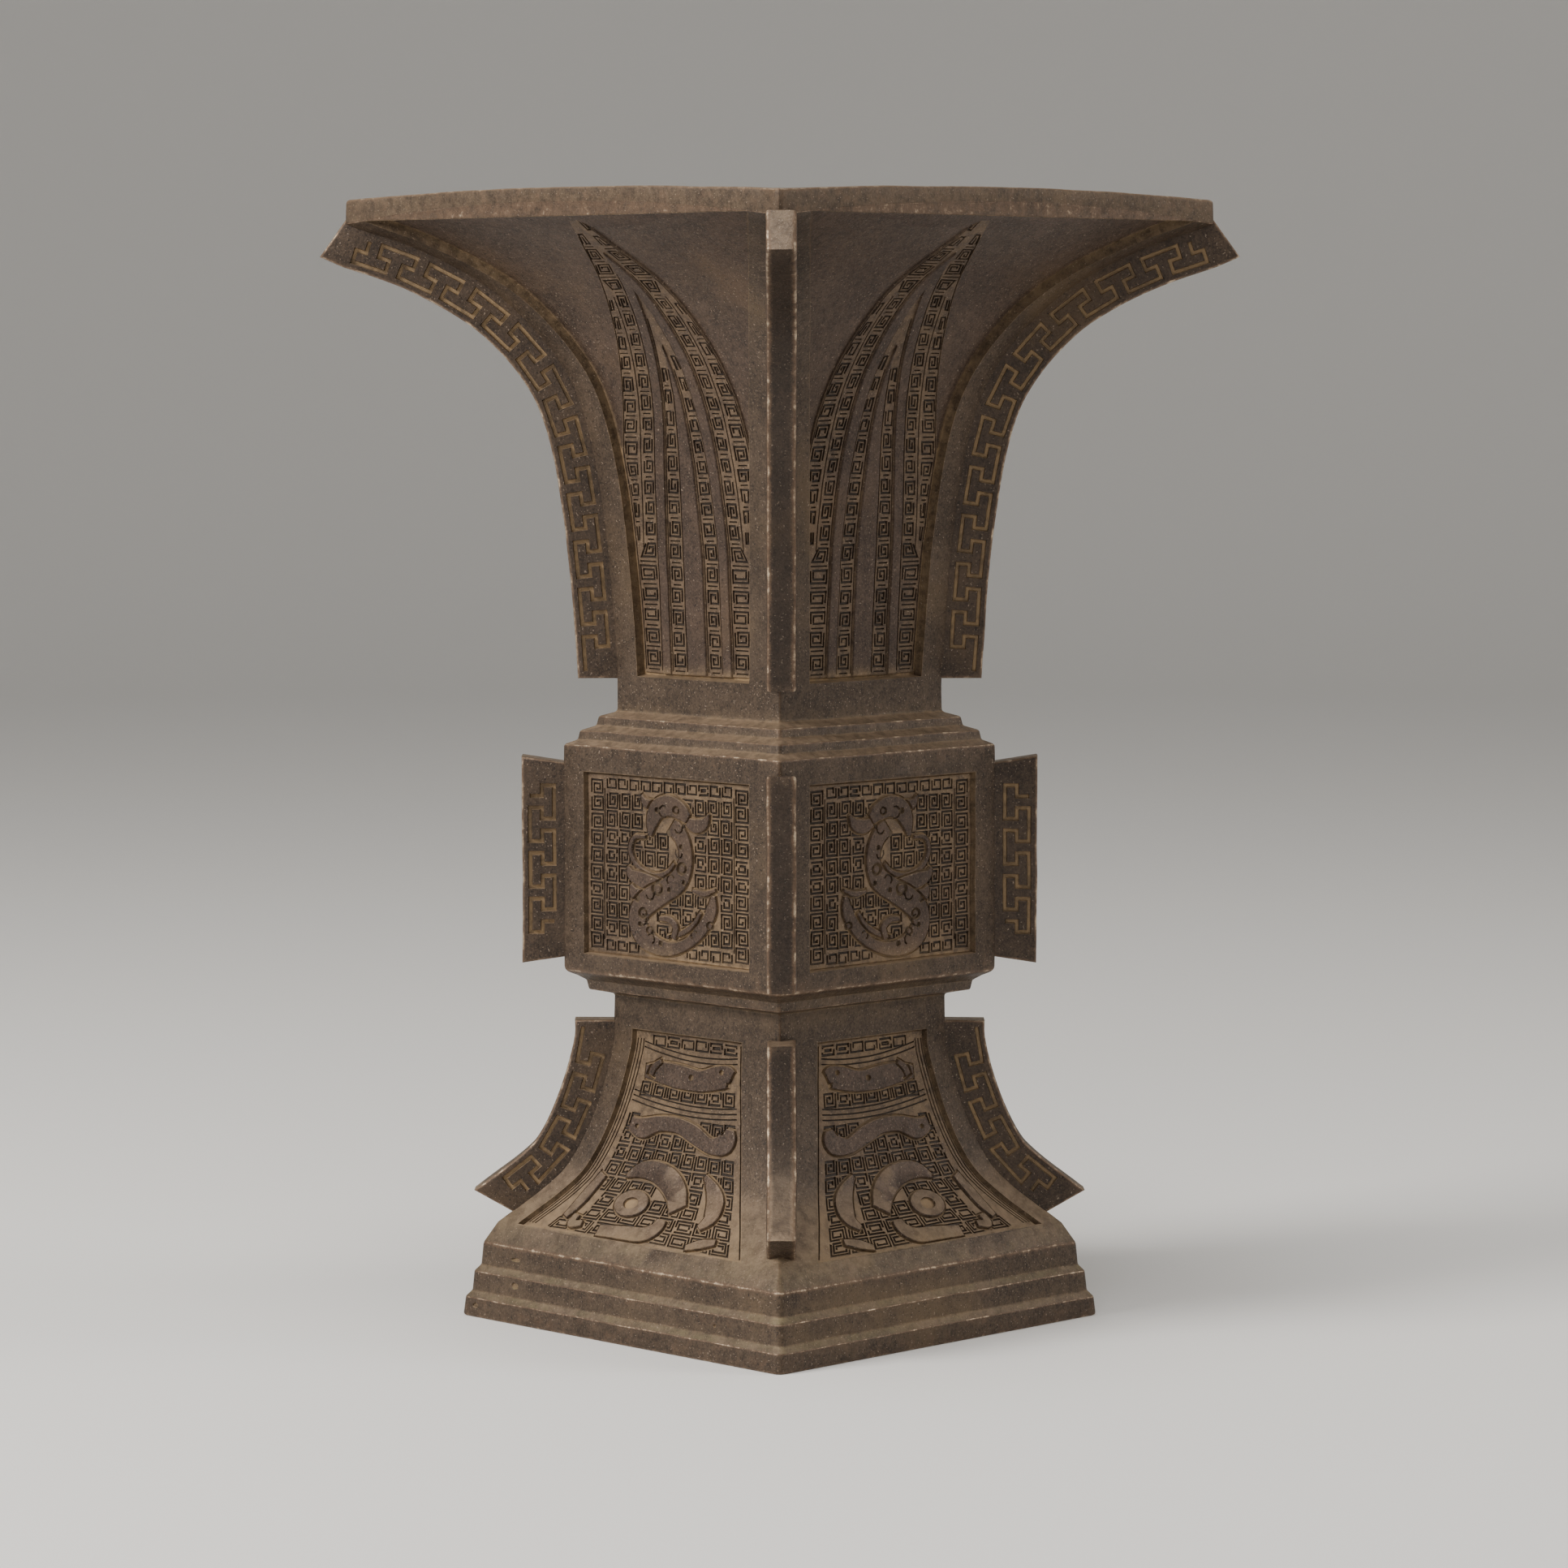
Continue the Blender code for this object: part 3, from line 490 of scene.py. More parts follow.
def on_wall(turn, flat, height):
    """Points of the flat drawing set on one of the four walls, in millimetres."""
    x, v = flat[:, 0], flat[:, 1]
    half, z, corner, wear_and_highlight, hollow, out, rise = section.at(v)
    y = -(half + height * out)
    z = z + height * rise + arch(x, v)
    if turn in (1, 3):
        x, y = -y, -x
    if turn in (2, 3):
        x, y = -x, -y
    return np.stack([x, y, z], axis=1)


noise.seed_set(WAVE_SEED)


def waved(points):
    """The slow waves of a model cut and smoothed by hand, kept inside the solid's box."""
    moved = np.array(points)
    for i, point in enumerate(points):
        place = Vector(point) / WAVE_LENGTH
        push = noise.noise_vector(place) + 0.5 * noise.noise_vector(place * 2.3)
        moved[i] += np.array(push) * WAVE * min(1.0, point[2] / 3.0 + 0.2)
    low, high = (np.array(tuple(corner)) * 1000.0 for corner in cad_box)
    return np.clip(moved, low, high)


def make_piece(name, points, faces, finish, material, sharp_angle=38.0):
    """A mesh object from points in millimetres, with its finish kept as attributes."""
    mesh = bpy.data.meshes.new(name)
    mesh.from_pydata([tuple(p) for p in waved(points) / 1000.0], [], [tuple(f) for f in faces])
    for column, label in enumerate(("hollow", "shade", "wear_and_highlight")):
        layer = mesh.attributes.new(label, "FLOAT", "POINT")
        layer.data.foreach_set("value", np.array(finish[:, column + 1], np.float32))
    surface = bmesh.new()
    surface.from_mesh(mesh)
    bmesh.ops.remove_doubles(surface, verts=surface.verts, dist=0.000002)
    bmesh.ops.recalc_face_normals(surface, faces=surface.faces)
    limit = math.radians(sharp_angle)
    for edge in surface.edges:
        if len(edge.link_faces) == 2:
            edge.smooth = edge.calc_face_angle(0.0) < limit
    for face in surface.faces:
        face.smooth = True
    surface.to_mesh(mesh)
    surface.free()
    mesh.materials.append(material)
    piece = bpy.data.objects.new(name, mesh)
    bpy.context.scene.collection.objects.link(piece)
    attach(piece, "root")
    return piece


class Parts:
    """The points, faces and finish of a piece, gathered part by part."""

    def __init__(self):
        self.points, self.faces, self.looks = [], [], []
        self.total = 0

    def add(self, points, looks, faces):
        """Add a part, its faces counted from its own first point, and tell where it starts."""
        start = self.total
        self.points.append(points)
        self.looks.append(looks)
        self.faces += [tuple(i + start for i in face) for face in faces]
        self.total += len(points)
        return start

    def piece(self, name, material):
        return make_piece(name, np.vstack(self.points), self.faces, np.vstack(self.looks),
                          material)


class Panel:
    """A sunk panel of one wall, between two lengths up the wall and two margins."""

    def __init__(self, low, high, far, near, recess):
        self.low, self.high, self.far, self.near = low, high, far, near
        self.recess = recess
        count = int((high - low) / 3.0)
        self.rows = [low + (high - low) * k / count for k in range(count + 1)]

    def edges(self, v):
        """Left and right edge of the panel at a length up the wall."""
        half = float(section.at(v)[0])
        return self.far - half, half - self.near

    def outline(self):
        """The closed outline of the panel."""
        pairs = [self.edges(v) for v in self.rows]
        return [(right, v) for (left, right), v in zip(pairs, self.rows)] + [
            (left, v) for (left, right), v in zip(pairs, self.rows)][::-1]

    def place(self, across, along_wall):
        """The point at a share of the panel's width and length."""
        v = self.low + along_wall * (self.high - self.low)
        left, right = self.edges(v)
        return (left + across * (right - left), v)


section = vessel_section()
lengths = section.lengths
marks = section.marks


def wall_panels(far, foot_far):
    """The neck, bulb and foot panels of a wall with the given far margins."""
    bulb_low = lengths[marks["bulb_bottom"]] + BULB_PANEL_FOOT - BULB_EDGE
    return (
        Panel(lengths[marks["neck_bottom"]] + NECK_PANEL_FOOT, lengths[marks["neck_top"]] - 0.4,
              far, MARGIN_NEAR, NECK_RECESS),
        Panel(bulb_low, lengths[marks["bulb_top"]] - BULB_PANEL_HEAD, far, MARGIN_NEAR,
              BULB_RECESS),
        Panel(lengths[marks["foot_bottom"]] + FOOT_PANEL_FOOT,
              lengths[marks["foot_top"]] - FOOT_PANEL_HEAD, foot_far, FOOT_MARGIN_NEAR,
              FOOT_RECESS))


hidden_far = (FLANGE_THICKNESS / 2 + SIDE_FLANGE_SHIFT) * math.sqrt(2.0) + FLANGE_CLEARANCE
front_panels = wall_panels(MARGIN_FAR, FOOT_MARGIN_FAR)
back_panels = wall_panels(hidden_far, hidden_far)


def shell_drawing(panels, chips):
    """One wall of the vessel, with its three recesses and the chips of its plinth."""
    drawing = Drawing()
    half, z, corner = section.table[:, 0], section.table[:, 1], section.table[:, 2]
    right = [(h - c, v) for h, c, v in zip(half, corner, lengths)]
    left = [(-x, v) for x, v in right]
    drawing.line(right + left[::-1], closed=True)
    for i in range(1, len(right) - 1):
        columns = max(2, int(2 * right[i][0] / COLUMN_WIDTH))
        if i > marks["rim_inside"] + 2 or i < marks["base"] - 8:
            columns = 8
        drawing.line([(left[i][0] * (1 - 2 * k / columns), left[i][1])
                      for k in range(columns + 1)])
    for panel in panels:
        outline = panel.outline()
        drawing.line(drawn_inwards(outline, -0.3), closed=True)
        drawing.line(outline, closed=True)
        floor_line = drawn_inwards(outline, RECESS_SLOPE)
        drawing.area(floor_line, -panel.recess - BEDDING, hollow=0.8)
    for s, z, across, up_wall in chips:
        v = section.length_at(z, "base", "foot_bottom")
        rim = [(s + across * reach * math.cos(turn), v + up_wall * reach * math.sin(turn))
               for turn, reach in ((math.tau * k / 11, 0.82 + 0.3 * noise.noise((s, z, k)))
                                   for k in range(11))]
        drawing.line(rim, closed=True)
        drawing.area(drawn_inwards(rim, 0.25), -CHIP_DEPTH, hollow=0.75, wear_and_highlight=0.2)
    return drawing


def wall_surface(panels, chips=()):
    """Points, triangles and finish of one wall of the vessel, laid flat."""
    flat, triangles, finish = shell_drawing(panels, chips).triangles()
    depth = finish[:, 0]
    columns = section.at(flat[:, 1])
    finish[:, 3] = np.maximum(finish[:, 3], columns[3] * (depth == 0.0))
    finish[:, 1] = np.maximum(finish[:, 1], columns[4])
    for panel in panels:
        brim = inside_or_on(drawn_inwards(panel.outline(), -0.02), flat)
        brim = brim[depth[brim] == 0.0]
        # The panels' brims: rubbed metal with a painted highlight, and some earth.
        finish[brim, 3] = 0.35
        finish[brim, 1] = 0.55
    return flat, triangles, finish


def build_shell(material):
    """Four walls, rounded corners between them, and the floor and ceiling inside."""
    left = wall_surface(front_panels, CHIPS)
    right = wall_surface(front_panels)
    back = wall_surface(back_panels)
    parts = Parts()
    for turn, (flat, triangles, finish) in enumerate((left, right, back, back)):
        parts.add(on_wall(turn, flat, finish[:, 0]), finish, triangles)
    ring = 4 * (CORNER_STEPS + 1)
    sign = np.array([(1, -1), (1, 1), (-1, 1), (-1, -1)], float)
    angles = np.radians(np.linspace(-90.0, 0.0, CORNER_STEPS + 1))
    points = []
    looks = []
    lip_start, lip_end = lengths[marks["neck_top"]], lengths[marks["rim_outside"]]
    for (half, z, corner, wear_and_highlight, hollow), v in zip(section.table, lengths):
        for quarter in range(4):
            stepped = quarter == 0 and lip_start < v <= lip_end
            for angle, push in zip(angles + quarter * math.pi / 2, LIP_STEP):
                centre = sign[quarter] * (half - corner)
                radius = corner + push * stepped
                x = centre[0] + radius * math.cos(angle)
                y = centre[1] + radius * math.sin(angle)
                points.append((x, y, z + float(arch(half - corner, v))))
                # Along each sharp corner, rubbed metal with a painted highlight down its middle.
                middle = 1.0 - abs(math.degrees(angle - quarter * math.pi / 2) + 45.0) / 45.0
                rounded = 0.55 * middle if corner < 2.0 else 0.0
                looks.append((0.0, hollow, 0.0, max(wear_and_highlight, rounded)))
    faces = []
    for row in range(0, len(points) - ring, ring):
        for quarter in range(4):
            for k in range(CORNER_STEPS):
                a = row + quarter * (CORNER_STEPS + 1) + k
                faces.append((a, a + 1, a + ring + 1, a + ring))
    faces += [tuple(range(ring)), tuple(range(len(points) - ring, len(points)))]
    parts.add(np.array(points), np.array(looks), faces)
    return parts.piece("vessel", material)


# The finish of the bronze: a brown patina over the cast skin, mottled and finely pitted, with
# pale earth left in the hollows, dust with painted top light on what faces up, and brass-coloured
# metal where hands and cloths have rubbed the arrises, its bare colour also a painted highlight.
# Each of these is a node group of its own; painted shade in grooves, ditches and sunk rings is
# laid over them last.
PIT = (0.010, 0.007, 0.006)
SPECK = (0.26, 0.20, 0.15)
# Dust with painted top light on what faces up, olive towards the bottom.
DUST_AND_TOP_LIGHT = (0.310, 0.222, 0.150)
OLIVE_DUST_AND_TOP_LIGHT = (0.215, 0.185, 0.090)
EARTH = (0.265, 0.182, 0.100)
# Rubbed metal on the arrises: a warm brown round it and a bare colour that is also a painted
# highlight.
WARM_METAL = (0.135, 0.082, 0.050)
BARE_METAL_AND_HIGHLIGHT = (0.47, 0.38, 0.275)
# Painted shade for grooves, ditches and sunk rings.
SHADED = (0.012, 0.008, 0.006)
DUST_AND_TOP_LIGHT_AMOUNT = 0.88
SHADE_AMOUNT = 0.86


def new_group(name, inputs, outputs):
    """An empty shader node group with the named sockets, its inputs and its output node."""
    tree = bpy.data.node_groups.new(name, "ShaderNodeTree")
    for label, kind, value in inputs:
        socket = tree.interface.new_socket(label, in_out="INPUT", socket_type=kind)
        socket.default_value = value
    for label, kind in outputs:
        tree.interface.new_socket(label, in_out="OUTPUT", socket_type=kind)
    return tree, tree.nodes.new("NodeGroupInput").outputs, tree.nodes.new("NodeGroupOutput")


def noise_at(tree, scale, detail=3.0, rough=0.55):
    """Noise fixed to the object, with its scale in features to the metre."""
    place = tree.nodes.new("ShaderNodeTexCoord")
    texture = tree.nodes.new("ShaderNodeTexNoise")
    fill(texture, {"Vector": place.outputs["Object"], "Scale": scale, "Detail": detail,
                   "Roughness": rough})
    return texture.outputs["Fac"]


def spread(tree, value, low, high, to_low=0.0, to_high=1.0):
    """A value moved from one range to another, smoothly and without leaving it."""
    node = tree.nodes.new("ShaderNodeMapRange")
    node.interpolation_type = "SMOOTHSTEP"
    fill(node, {"Value": value, "From Min": low, "From Max": high, "To Min": to_low,
                "To Max": to_high})
    return node.outputs["Result"]


def combined(tree, operation, *values):
    """Values put together by a Math node; each may be a socket or a number."""
    node = tree.nodes.new("ShaderNodeMath")
    node.operation = operation
    fill(node, dict(enumerate(values)))
    return node.outputs[0]


def coloured(tree, mask, under, over):
    """One colour laid over another by a mask; each may be a socket or a colour."""
    node = tree.nodes.new("ShaderNodeMix")
    node.data_type = "RGBA"
    first, second = (k for k, socket in enumerate(node.inputs) if socket.type == "RGBA")
    fill(node, {"Factor": mask, first: under, second: over})
    return next(s for s in node.outputs if s.type == "RGBA")


def patina_group():
    """The brown of the cast skin: two browns in clouds, darker pits and pale specks."""
    tree, given, result = new_group("brown_patina", [
        ("Dark", "NodeSocketColor", (0.05, 0.035, 0.027, 1.0)),
        ("Light", "NodeSocketColor", (0.15, 0.11, 0.08, 1.0)),
        ("Warm", "NodeSocketColor", (0.17, 0.105, 0.06, 1.0))],
        [("Color", "NodeSocketColor"), ("Grain", "NodeSocketFloat")])
    clouds = spread(tree, noise_at(tree, 55.0, 5.0, 0.62), 0.36, 0.66)
    mottle = spread(tree, noise_at(tree, 420.0, 4.0, 0.65), 0.34, 0.68)
    fine = spread(tree, noise_at(tree, 1750.0, 3.0, 0.7), 0.41, 0.59)
    mask = combined(tree, "MULTIPLY_ADD", clouds, 0.30, combined(tree, "MULTIPLY", mottle, 0.30))
    mask = combined(tree, "MULTIPLY_ADD", fine, 0.40, mask)
    brown = coloured(tree, mask, given["Dark"], given["Light"])
    blush = spread(tree, noise_at(tree, 28.0, 4.0, 0.6), 0.52, 0.74, 0.0, 0.55)
    brown = coloured(tree, blush, brown, given["Warm"])
    pits = spread(tree, noise_at(tree, 1500.0, 2.0, 0.6), 0.30, 0.40, 0.75, 0.0)
    brown = coloured(tree, pits, brown, PIT)
    specks = spread(tree, noise_at(tree, 2100.0, 1.0, 0.5), 0.68, 0.74, 0.0, 0.75)
    fill(result, {"Color": coloured(tree, specks, brown, SPECK),
                  "Grain": noise_at(tree, 1300.0, 4.0, 0.7)})
    return tree


def deposit_and_top_light_group():
    """Pale earth in the hollows, and dust with painted top light on what faces up, as masks that
    break up.
    """
    tree, given, result = new_group("earth_dust_and_top_light", [
        ("Hollow", "NodeSocketFloat", 0.0)],
        [("Earth", "NodeSocketFloat"), ("DustAndTopLight", "NodeSocketFloat"),
         ("Olive", "NodeSocketFloat")])
    patchy = spread(tree, noise_at(tree, 420.0, 5.0, 0.65), 0.32, 0.62, 0.30, 1.0)
    wide = spread(tree, noise_at(tree, 34.0, 3.0, 0.55), 0.34, 0.64, 0.50, 1.0)
    packed = spread(tree, given["Hollow"], 0.65, 1.0, 0.0, 0.28)
    earth = combined(tree, "MULTIPLY", given["Hollow"], patchy)
    facing, place = (tree.nodes.new("ShaderNodeSeparateXYZ") for k in range(2))
    fill(facing, {"Vector": tree.nodes.new("ShaderNodeNewGeometry").outputs["Normal"]})
    fill(place, {"Vector": tree.nodes.new("ShaderNodeTexCoord").outputs["Object"]})
    # Dust and painted top light: what faces up is made paler.
    facing_up = spread(tree, facing.outputs["Z"], 0.30, 0.92)
    clumps = spread(tree, noise_at(tree, 330.0, 5.0, 0.65), 0.30, 0.66, 0.40, 1.0)
    low_down = spread(tree, place.outputs["Z"], 0.006, 0.032, 0.85, 0.12)
    stains = spread(tree, noise_at(tree, 90.0, 3.0, 0.6), 0.38, 0.62, 0.2, 1.0)
    fill(result, {"Earth": combined(tree, "MULTIPLY_ADD", earth, wide, packed),
                  "DustAndTopLight": combined(tree, "MULTIPLY", facing_up, clumps),
                  "Olive": combined(tree, "MULTIPLY", low_down, stains)})
    return tree


def wear_and_highlight_group():
    """Rubbed arrises with a painted highlight: a mask that is broken up along the edge."""
    tree, given, result = new_group("rubbed_and_highlit_edges", [("WearAndHighlight", "NodeSocketFloat", 0.0)],
                                    [("BareAndHighlight", "NodeSocketFloat"), ("Warmed", "NodeSocketFloat")])
    breaks = combined(tree, "MULTIPLY_ADD", noise_at(tree, 300.0, 5.0, 0.72), 2.1, -1.18)
    reach = combined(tree, "ADD", breaks, given["WearAndHighlight"])
    fill(result, {"BareAndHighlight": spread(tree, reach, 0.72, 1.20),
                  "Warmed": spread(tree, reach, 0.10, 0.95, 0.0, 0.75)})
    return tree


groups = {"patina": patina_group(), "deposit_and_top_light": deposit_and_top_light_group(), "wear_and_highlight": wear_and_highlight_group()}


def bronze(name, dark, light, warm, earth_amount, roughness, grain_height):
    """A bronze material from the shared groups, with its own colours and amounts."""
    material = bpy.data.materials.new(name)
    material.use_nodes = True
    tree = material.node_tree
    finish = {}
    for label in ("hollow", "shade", "wear_and_highlight"):
        attribute = tree.nodes.new("ShaderNodeAttribute")
        attribute.attribute_name = label
        finish[label] = attribute.outputs["Fac"]
    given = {"patina": {"Dark": dark, "Light": light, "Warm": warm},
             "deposit_and_top_light": {"Hollow": finish["hollow"]}, "wear_and_highlight": {"WearAndHighlight": finish["wear_and_highlight"]}}
    made = {}
    for label, group in groups.items():
        node = tree.nodes.new("ShaderNodeGroup")
        node.node_tree = group
        fill(node, given[label])
        made.update(node.outputs.items())
    earth = combined(tree, "MULTIPLY", made["Earth"], earth_amount)
    # Dust with painted top light on what faces up, then earth in the hollows.
    dust_and_top_light = combined(tree, "MULTIPLY", made["DustAndTopLight"], DUST_AND_TOP_LIGHT_AMOUNT)
    colour = coloured(tree, dust_and_top_light, made["Color"], coloured(tree, made["Olive"], DUST_AND_TOP_LIGHT, OLIVE_DUST_AND_TOP_LIGHT))
    colour = coloured(tree, earth, colour, EARTH)
    # Rubbed metal on the arrises; its bare colour is also a painted highlight.
    colour = coloured(tree, made["Warmed"], colour, WARM_METAL)
    colour = coloured(tree, made["BareAndHighlight"], colour, BARE_METAL_AND_HIGHLIGHT)
    # Painted shade: the shade attribute darkens the colour towards SHADED, most in groove floors,
    # ditches, sunk rings and the flanges' outer faces.
    shade = spread(tree, finish["shade"], 0.0, 1.0, 0.0, SHADE_AMOUNT)
    dulled = spread(tree, earth, 0.0, 1.0, 0.30, 0.0)
    gloss = spread(tree, made["Grain"], 0.25, 0.75, roughness + 0.10, roughness - 0.08)
    skin = tree.nodes.new("ShaderNodeBump")
    pores = noise_at(tree, 380.0, 3.0, 0.6)
    fill(skin, {"Strength": 0.9, "Distance": grain_height / 1000.0,
                "Height": combined(tree, "MULTIPLY_ADD", pores, 1.2, made["Grain"])})
    fill(tree.nodes["Principled BSDF"], {
        "Base Color": coloured(tree, shade, colour, SHADED),
        "Specular IOR Level": 0.34,
        "Metallic": combined(tree, "MULTIPLY_ADD", made["BareAndHighlight"], 0.6, dulled),
        "Roughness": combined(tree, "MULTIPLY_ADD", earth, 0.35, gloss),
        "Normal": skin.outputs["Normal"]})
    return material


vessel_bronze = bronze("bronze_skin", (0.026, 0.017, 0.011), (0.092, 0.063, 0.042),
                       (0.105, 0.069, 0.036), 0.75, 0.50, 0.12)
vessel = build_shell(vessel_bronze)
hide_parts("fanggu_vase")


# The flanges: twelve upright ribs, three on each corner, cast with the vessel. Both sides
# carry a fret of interlocking T shapes parted by one sunk line, and the outer edges are plain,
# rounded at the arrises and rubbed bright there, with a painted highlight; their outer faces
# carry painted shade.
FLANGE_REACH = 10.2
FLANGE_ROOT = 1.3
FLANGE_ROUNDING = 0.75
NECK_FLANGE_RISE = 7.4
NECK_FLANGE_TIP = 2.6
NECK_FLANGE_LET_IN = 0.8
BULB_FLANGE_INSET = 3.2
BULB_FLANGE_SLANT = 2.8
FOOT_FLANGE_DROP = 1.2
NEAR_FLANGE_SHIFT = 0.5
FRET_PITCH = 11.6
FRET_LINE = 1.1
FRET_DEPTH = 0.85
FRET_SIDE = 0.16
FRET_ROWS = (2.05, 5.1, 8.1)
FRET_RETURN = 2.7
FRET_ENDS = 1.7
FRET_MARGIN = 1.4
EDGE_STEPS = 6
ROOT_TWO = math.sqrt(2.0)


def corner_section(first, last, low, high, spacing=2.5):
    """The body's corner line between two heights, as distance from the axis against height."""
    start = section.length_at(low, first, last)
    end = section.length_at(high, first, last)
    count = max(3, int((end - start) / spacing))
    line = []
    for v in np.linspace(start, end, count + 1):
        half, z = section.at(v)[:2]
        line.append((float(half - 0.4) * ROOT_TWO, float(z)))
    return line


def flange_outlines():
    """Outer edge and root line of the neck, bulb and foot flanges."""
    z_at = {name: float(section.table[i, 1]) for name, i in marks.items()}
    root = FLANGE_THICKNESS / 2 + SIDE_FLANGE_SHIFT + FLANGE_ROOT
    neck_low = z_at["neck_bottom"] + NECK_FLANGE_RISE
    neck = corner_section("neck_bottom", "neck_top", neck_low, z_at["neck_top"])
    neck_edge = moved_sideways(neck, FLANGE_REACH)
    neck_edge[0] = (neck[0][0] + FLANGE_REACH, neck[0][1])
    run = (Vector(neck_edge[-1]) - Vector(neck_edge[-2])).normalized()
    neck_edge[-1] = tuple(Vector(neck_edge[-1]) + run * NECK_FLANGE_TIP)
    neck_root = [(r - root, z) for r, z in neck]
    neck_root[-1] = (neck[-1][0] - root, neck[-1][1] + NECK_FLANGE_LET_IN)
    neck_root.append((neck[-1][0], neck[-1][1] + NECK_FLANGE_LET_IN))

    corner = (BULB_HALF - 0.4) * ROOT_TWO
    low = z_at["bulb_bottom"] - BULB_EDGE + BULB_FLANGE_INSET + BULB_FLANGE_SLANT
    high = z_at["bulb_top"] - BULB_FLANGE_INSET - BULB_FLANGE_SLANT
    heights = np.linspace(low - BULB_FLANGE_SLANT, high + BULB_FLANGE_SLANT, 20)
    bulb_edge = [(corner + FLANGE_REACH, float(z)) for z in heights]
    bulb_root = [(corner - root, low), (corner - root, high)]

    foot = corner_section("foot_bottom", "foot_top", z_at["foot_bottom"],
                          z_at["foot_top"] - FOOT_FLANGE_DROP)
    foot_edge = moved_sideways(foot, FLANGE_REACH)
    foot_edge[-1] = (foot[-1][0] + FLANGE_REACH, foot[-1][1])
    foot_root = [(r - root, z) for r, z in foot]
    return ((neck_edge, neck_root), (bulb_edge, bulb_root), (foot_edge, foot_root))


def stroke_outline(path, width):
    """The outline of a line of even width with square corners, as the fret is cut."""
    line = [Vector(p) for p in path]
    left = []
    right = []
    for i, point in enumerate(line):
        before = (point - line[i - 1]).normalized() if i else None
        after = (line[i + 1] - point).normalized() if i < len(line) - 1 else None
        if before is None or after is None:
            step = after or before
            across = Vector((-step.y, step.x)) * (width / 2)
        else:
            across = Vector((-before.y - after.y, before.x + after.x)).normalized()
            cosine = max(0.45, abs(across.dot(Vector((-before.y, before.x)))))
            across *= width / 2 / cosine
        left.append(tuple(point + across))
        right.append(tuple(point - across))
    return left + right[::-1]


def shortened(path, distance):
    """A path with its two ends drawn in."""
    line = [Vector(p) for p in path]
    first = (line[1] - line[0]).normalized() * distance
    last = (line[-2] - line[-1]).normalized() * distance
    return [line[0] + first] + line[1:-1] + [line[-1] + last]


def cut_groove(drawing, path, width, floor, side, hollow=0.3, shade=1.0):
    """A sunk line: its brim, and its narrower floor at the given height."""
    drawing.line(stroke_outline(path, width), closed=True)
    bottom = stroke_outline(shortened(path, side), width - 2 * side)
    # The floor is darkened with painted shade by its shade value.
    drawing.area(bottom, floor, hollow=hollow, shade=shade)


def fine_line(drawing, path, width=0.42):
    """A fine line beside a band or a border."""
    cut_groove(drawing, path, width, GROOVE_FLOOR, 0.1)


def along(line, distance):
    """A point at a distance along a line, and the direction of the line there."""
    for a, b in zip(line, line[1:]):
        size = math.dist(a, b)
        if distance <= size or b is line[-1]:
            step = Vector((b[0] - a[0], b[1] - a[1])) / size
            return Vector(a) + step * distance, step
        distance -= size


def fret_path(edge, flip):
    """The sunk line of the fret, following the flange's outer edge from end to end."""
    length = sum(math.dist(a, b) for a, b in zip(edge, edge[1:]))
    count = max(1, round(length / FRET_PITCH - 0.35))
    pitch = (length - 2 * FRET_ENDS) / (count + 0.28)
    reach = pitch / 2 + FRET_RETURN
    outer, middle, inner = FRET_ROWS
    stops = []
    for k in range(count):
        t = FRET_ENDS + k * pitch
        stops += [(t, outer), (t + reach, outer), (t + reach, middle), (t + pitch / 2, middle),
                  (t + pitch / 2, inner), (t + pitch / 2 + reach, inner),
                  (t + pitch / 2 + reach, middle), (t + pitch, middle)]
    last = length - FRET_ENDS
    stops = [(min(t, last), w) for t, w in stops]
    while stops[-1][0] >= last - 0.01 and stops[-2][0] >= last - 0.01:
        stops.pop()
    path = []
    for t, w in stops:
        place = length - t if flip else t
        point, step = along(edge, place)
        path.append(tuple(point + Vector((-step.y, step.x)) * w))
    return path


def flange_mesh(edge, root, flip):
    """A flange's flat side with its fret, rounded towards the outer edge."""
    outline = edge + root[::-1]
    drawing = Drawing()
    drawing.line(outline, closed=True)
    # The rounded arris: rubbed metal with a painted highlight.
    drawing.area(outline, -FLANGE_ROUNDING, wear_and_highlight=0.75, drawn=False)
    for degrees, wear_and_highlight in ((30.0, 1.0), (60.0, 0.8), (90.0, 0.15)):
        inset = FLANGE_ROUNDING * (1.0 - math.cos(math.radians(degrees)))
        height = FLANGE_ROUNDING * (math.sin(math.radians(degrees)) - 1.0)
        drawing.area(drawn_inwards(outline, inset), height, wear_and_highlight=wear_and_highlight)
    drawing.area(drawn_inwards(outline, 1.4 * FLANGE_ROUNDING), 0.0, drawn=False)
    path = fret_path(edge, flip)
    kept = inside_or_on(drawn_inwards(outline, FRET_MARGIN), np.array(path)).tolist()
    stop = next((i for i in range(kept[0], len(path)) if i not in kept), len(path))
    path = path[kept[0]:stop]
    cut_groove(drawing, path, FRET_LINE, -FRET_DEPTH, FRET_SIDE, hollow=1.0, shade=0.0)
    return len(edge), outline, drawing.triangles()


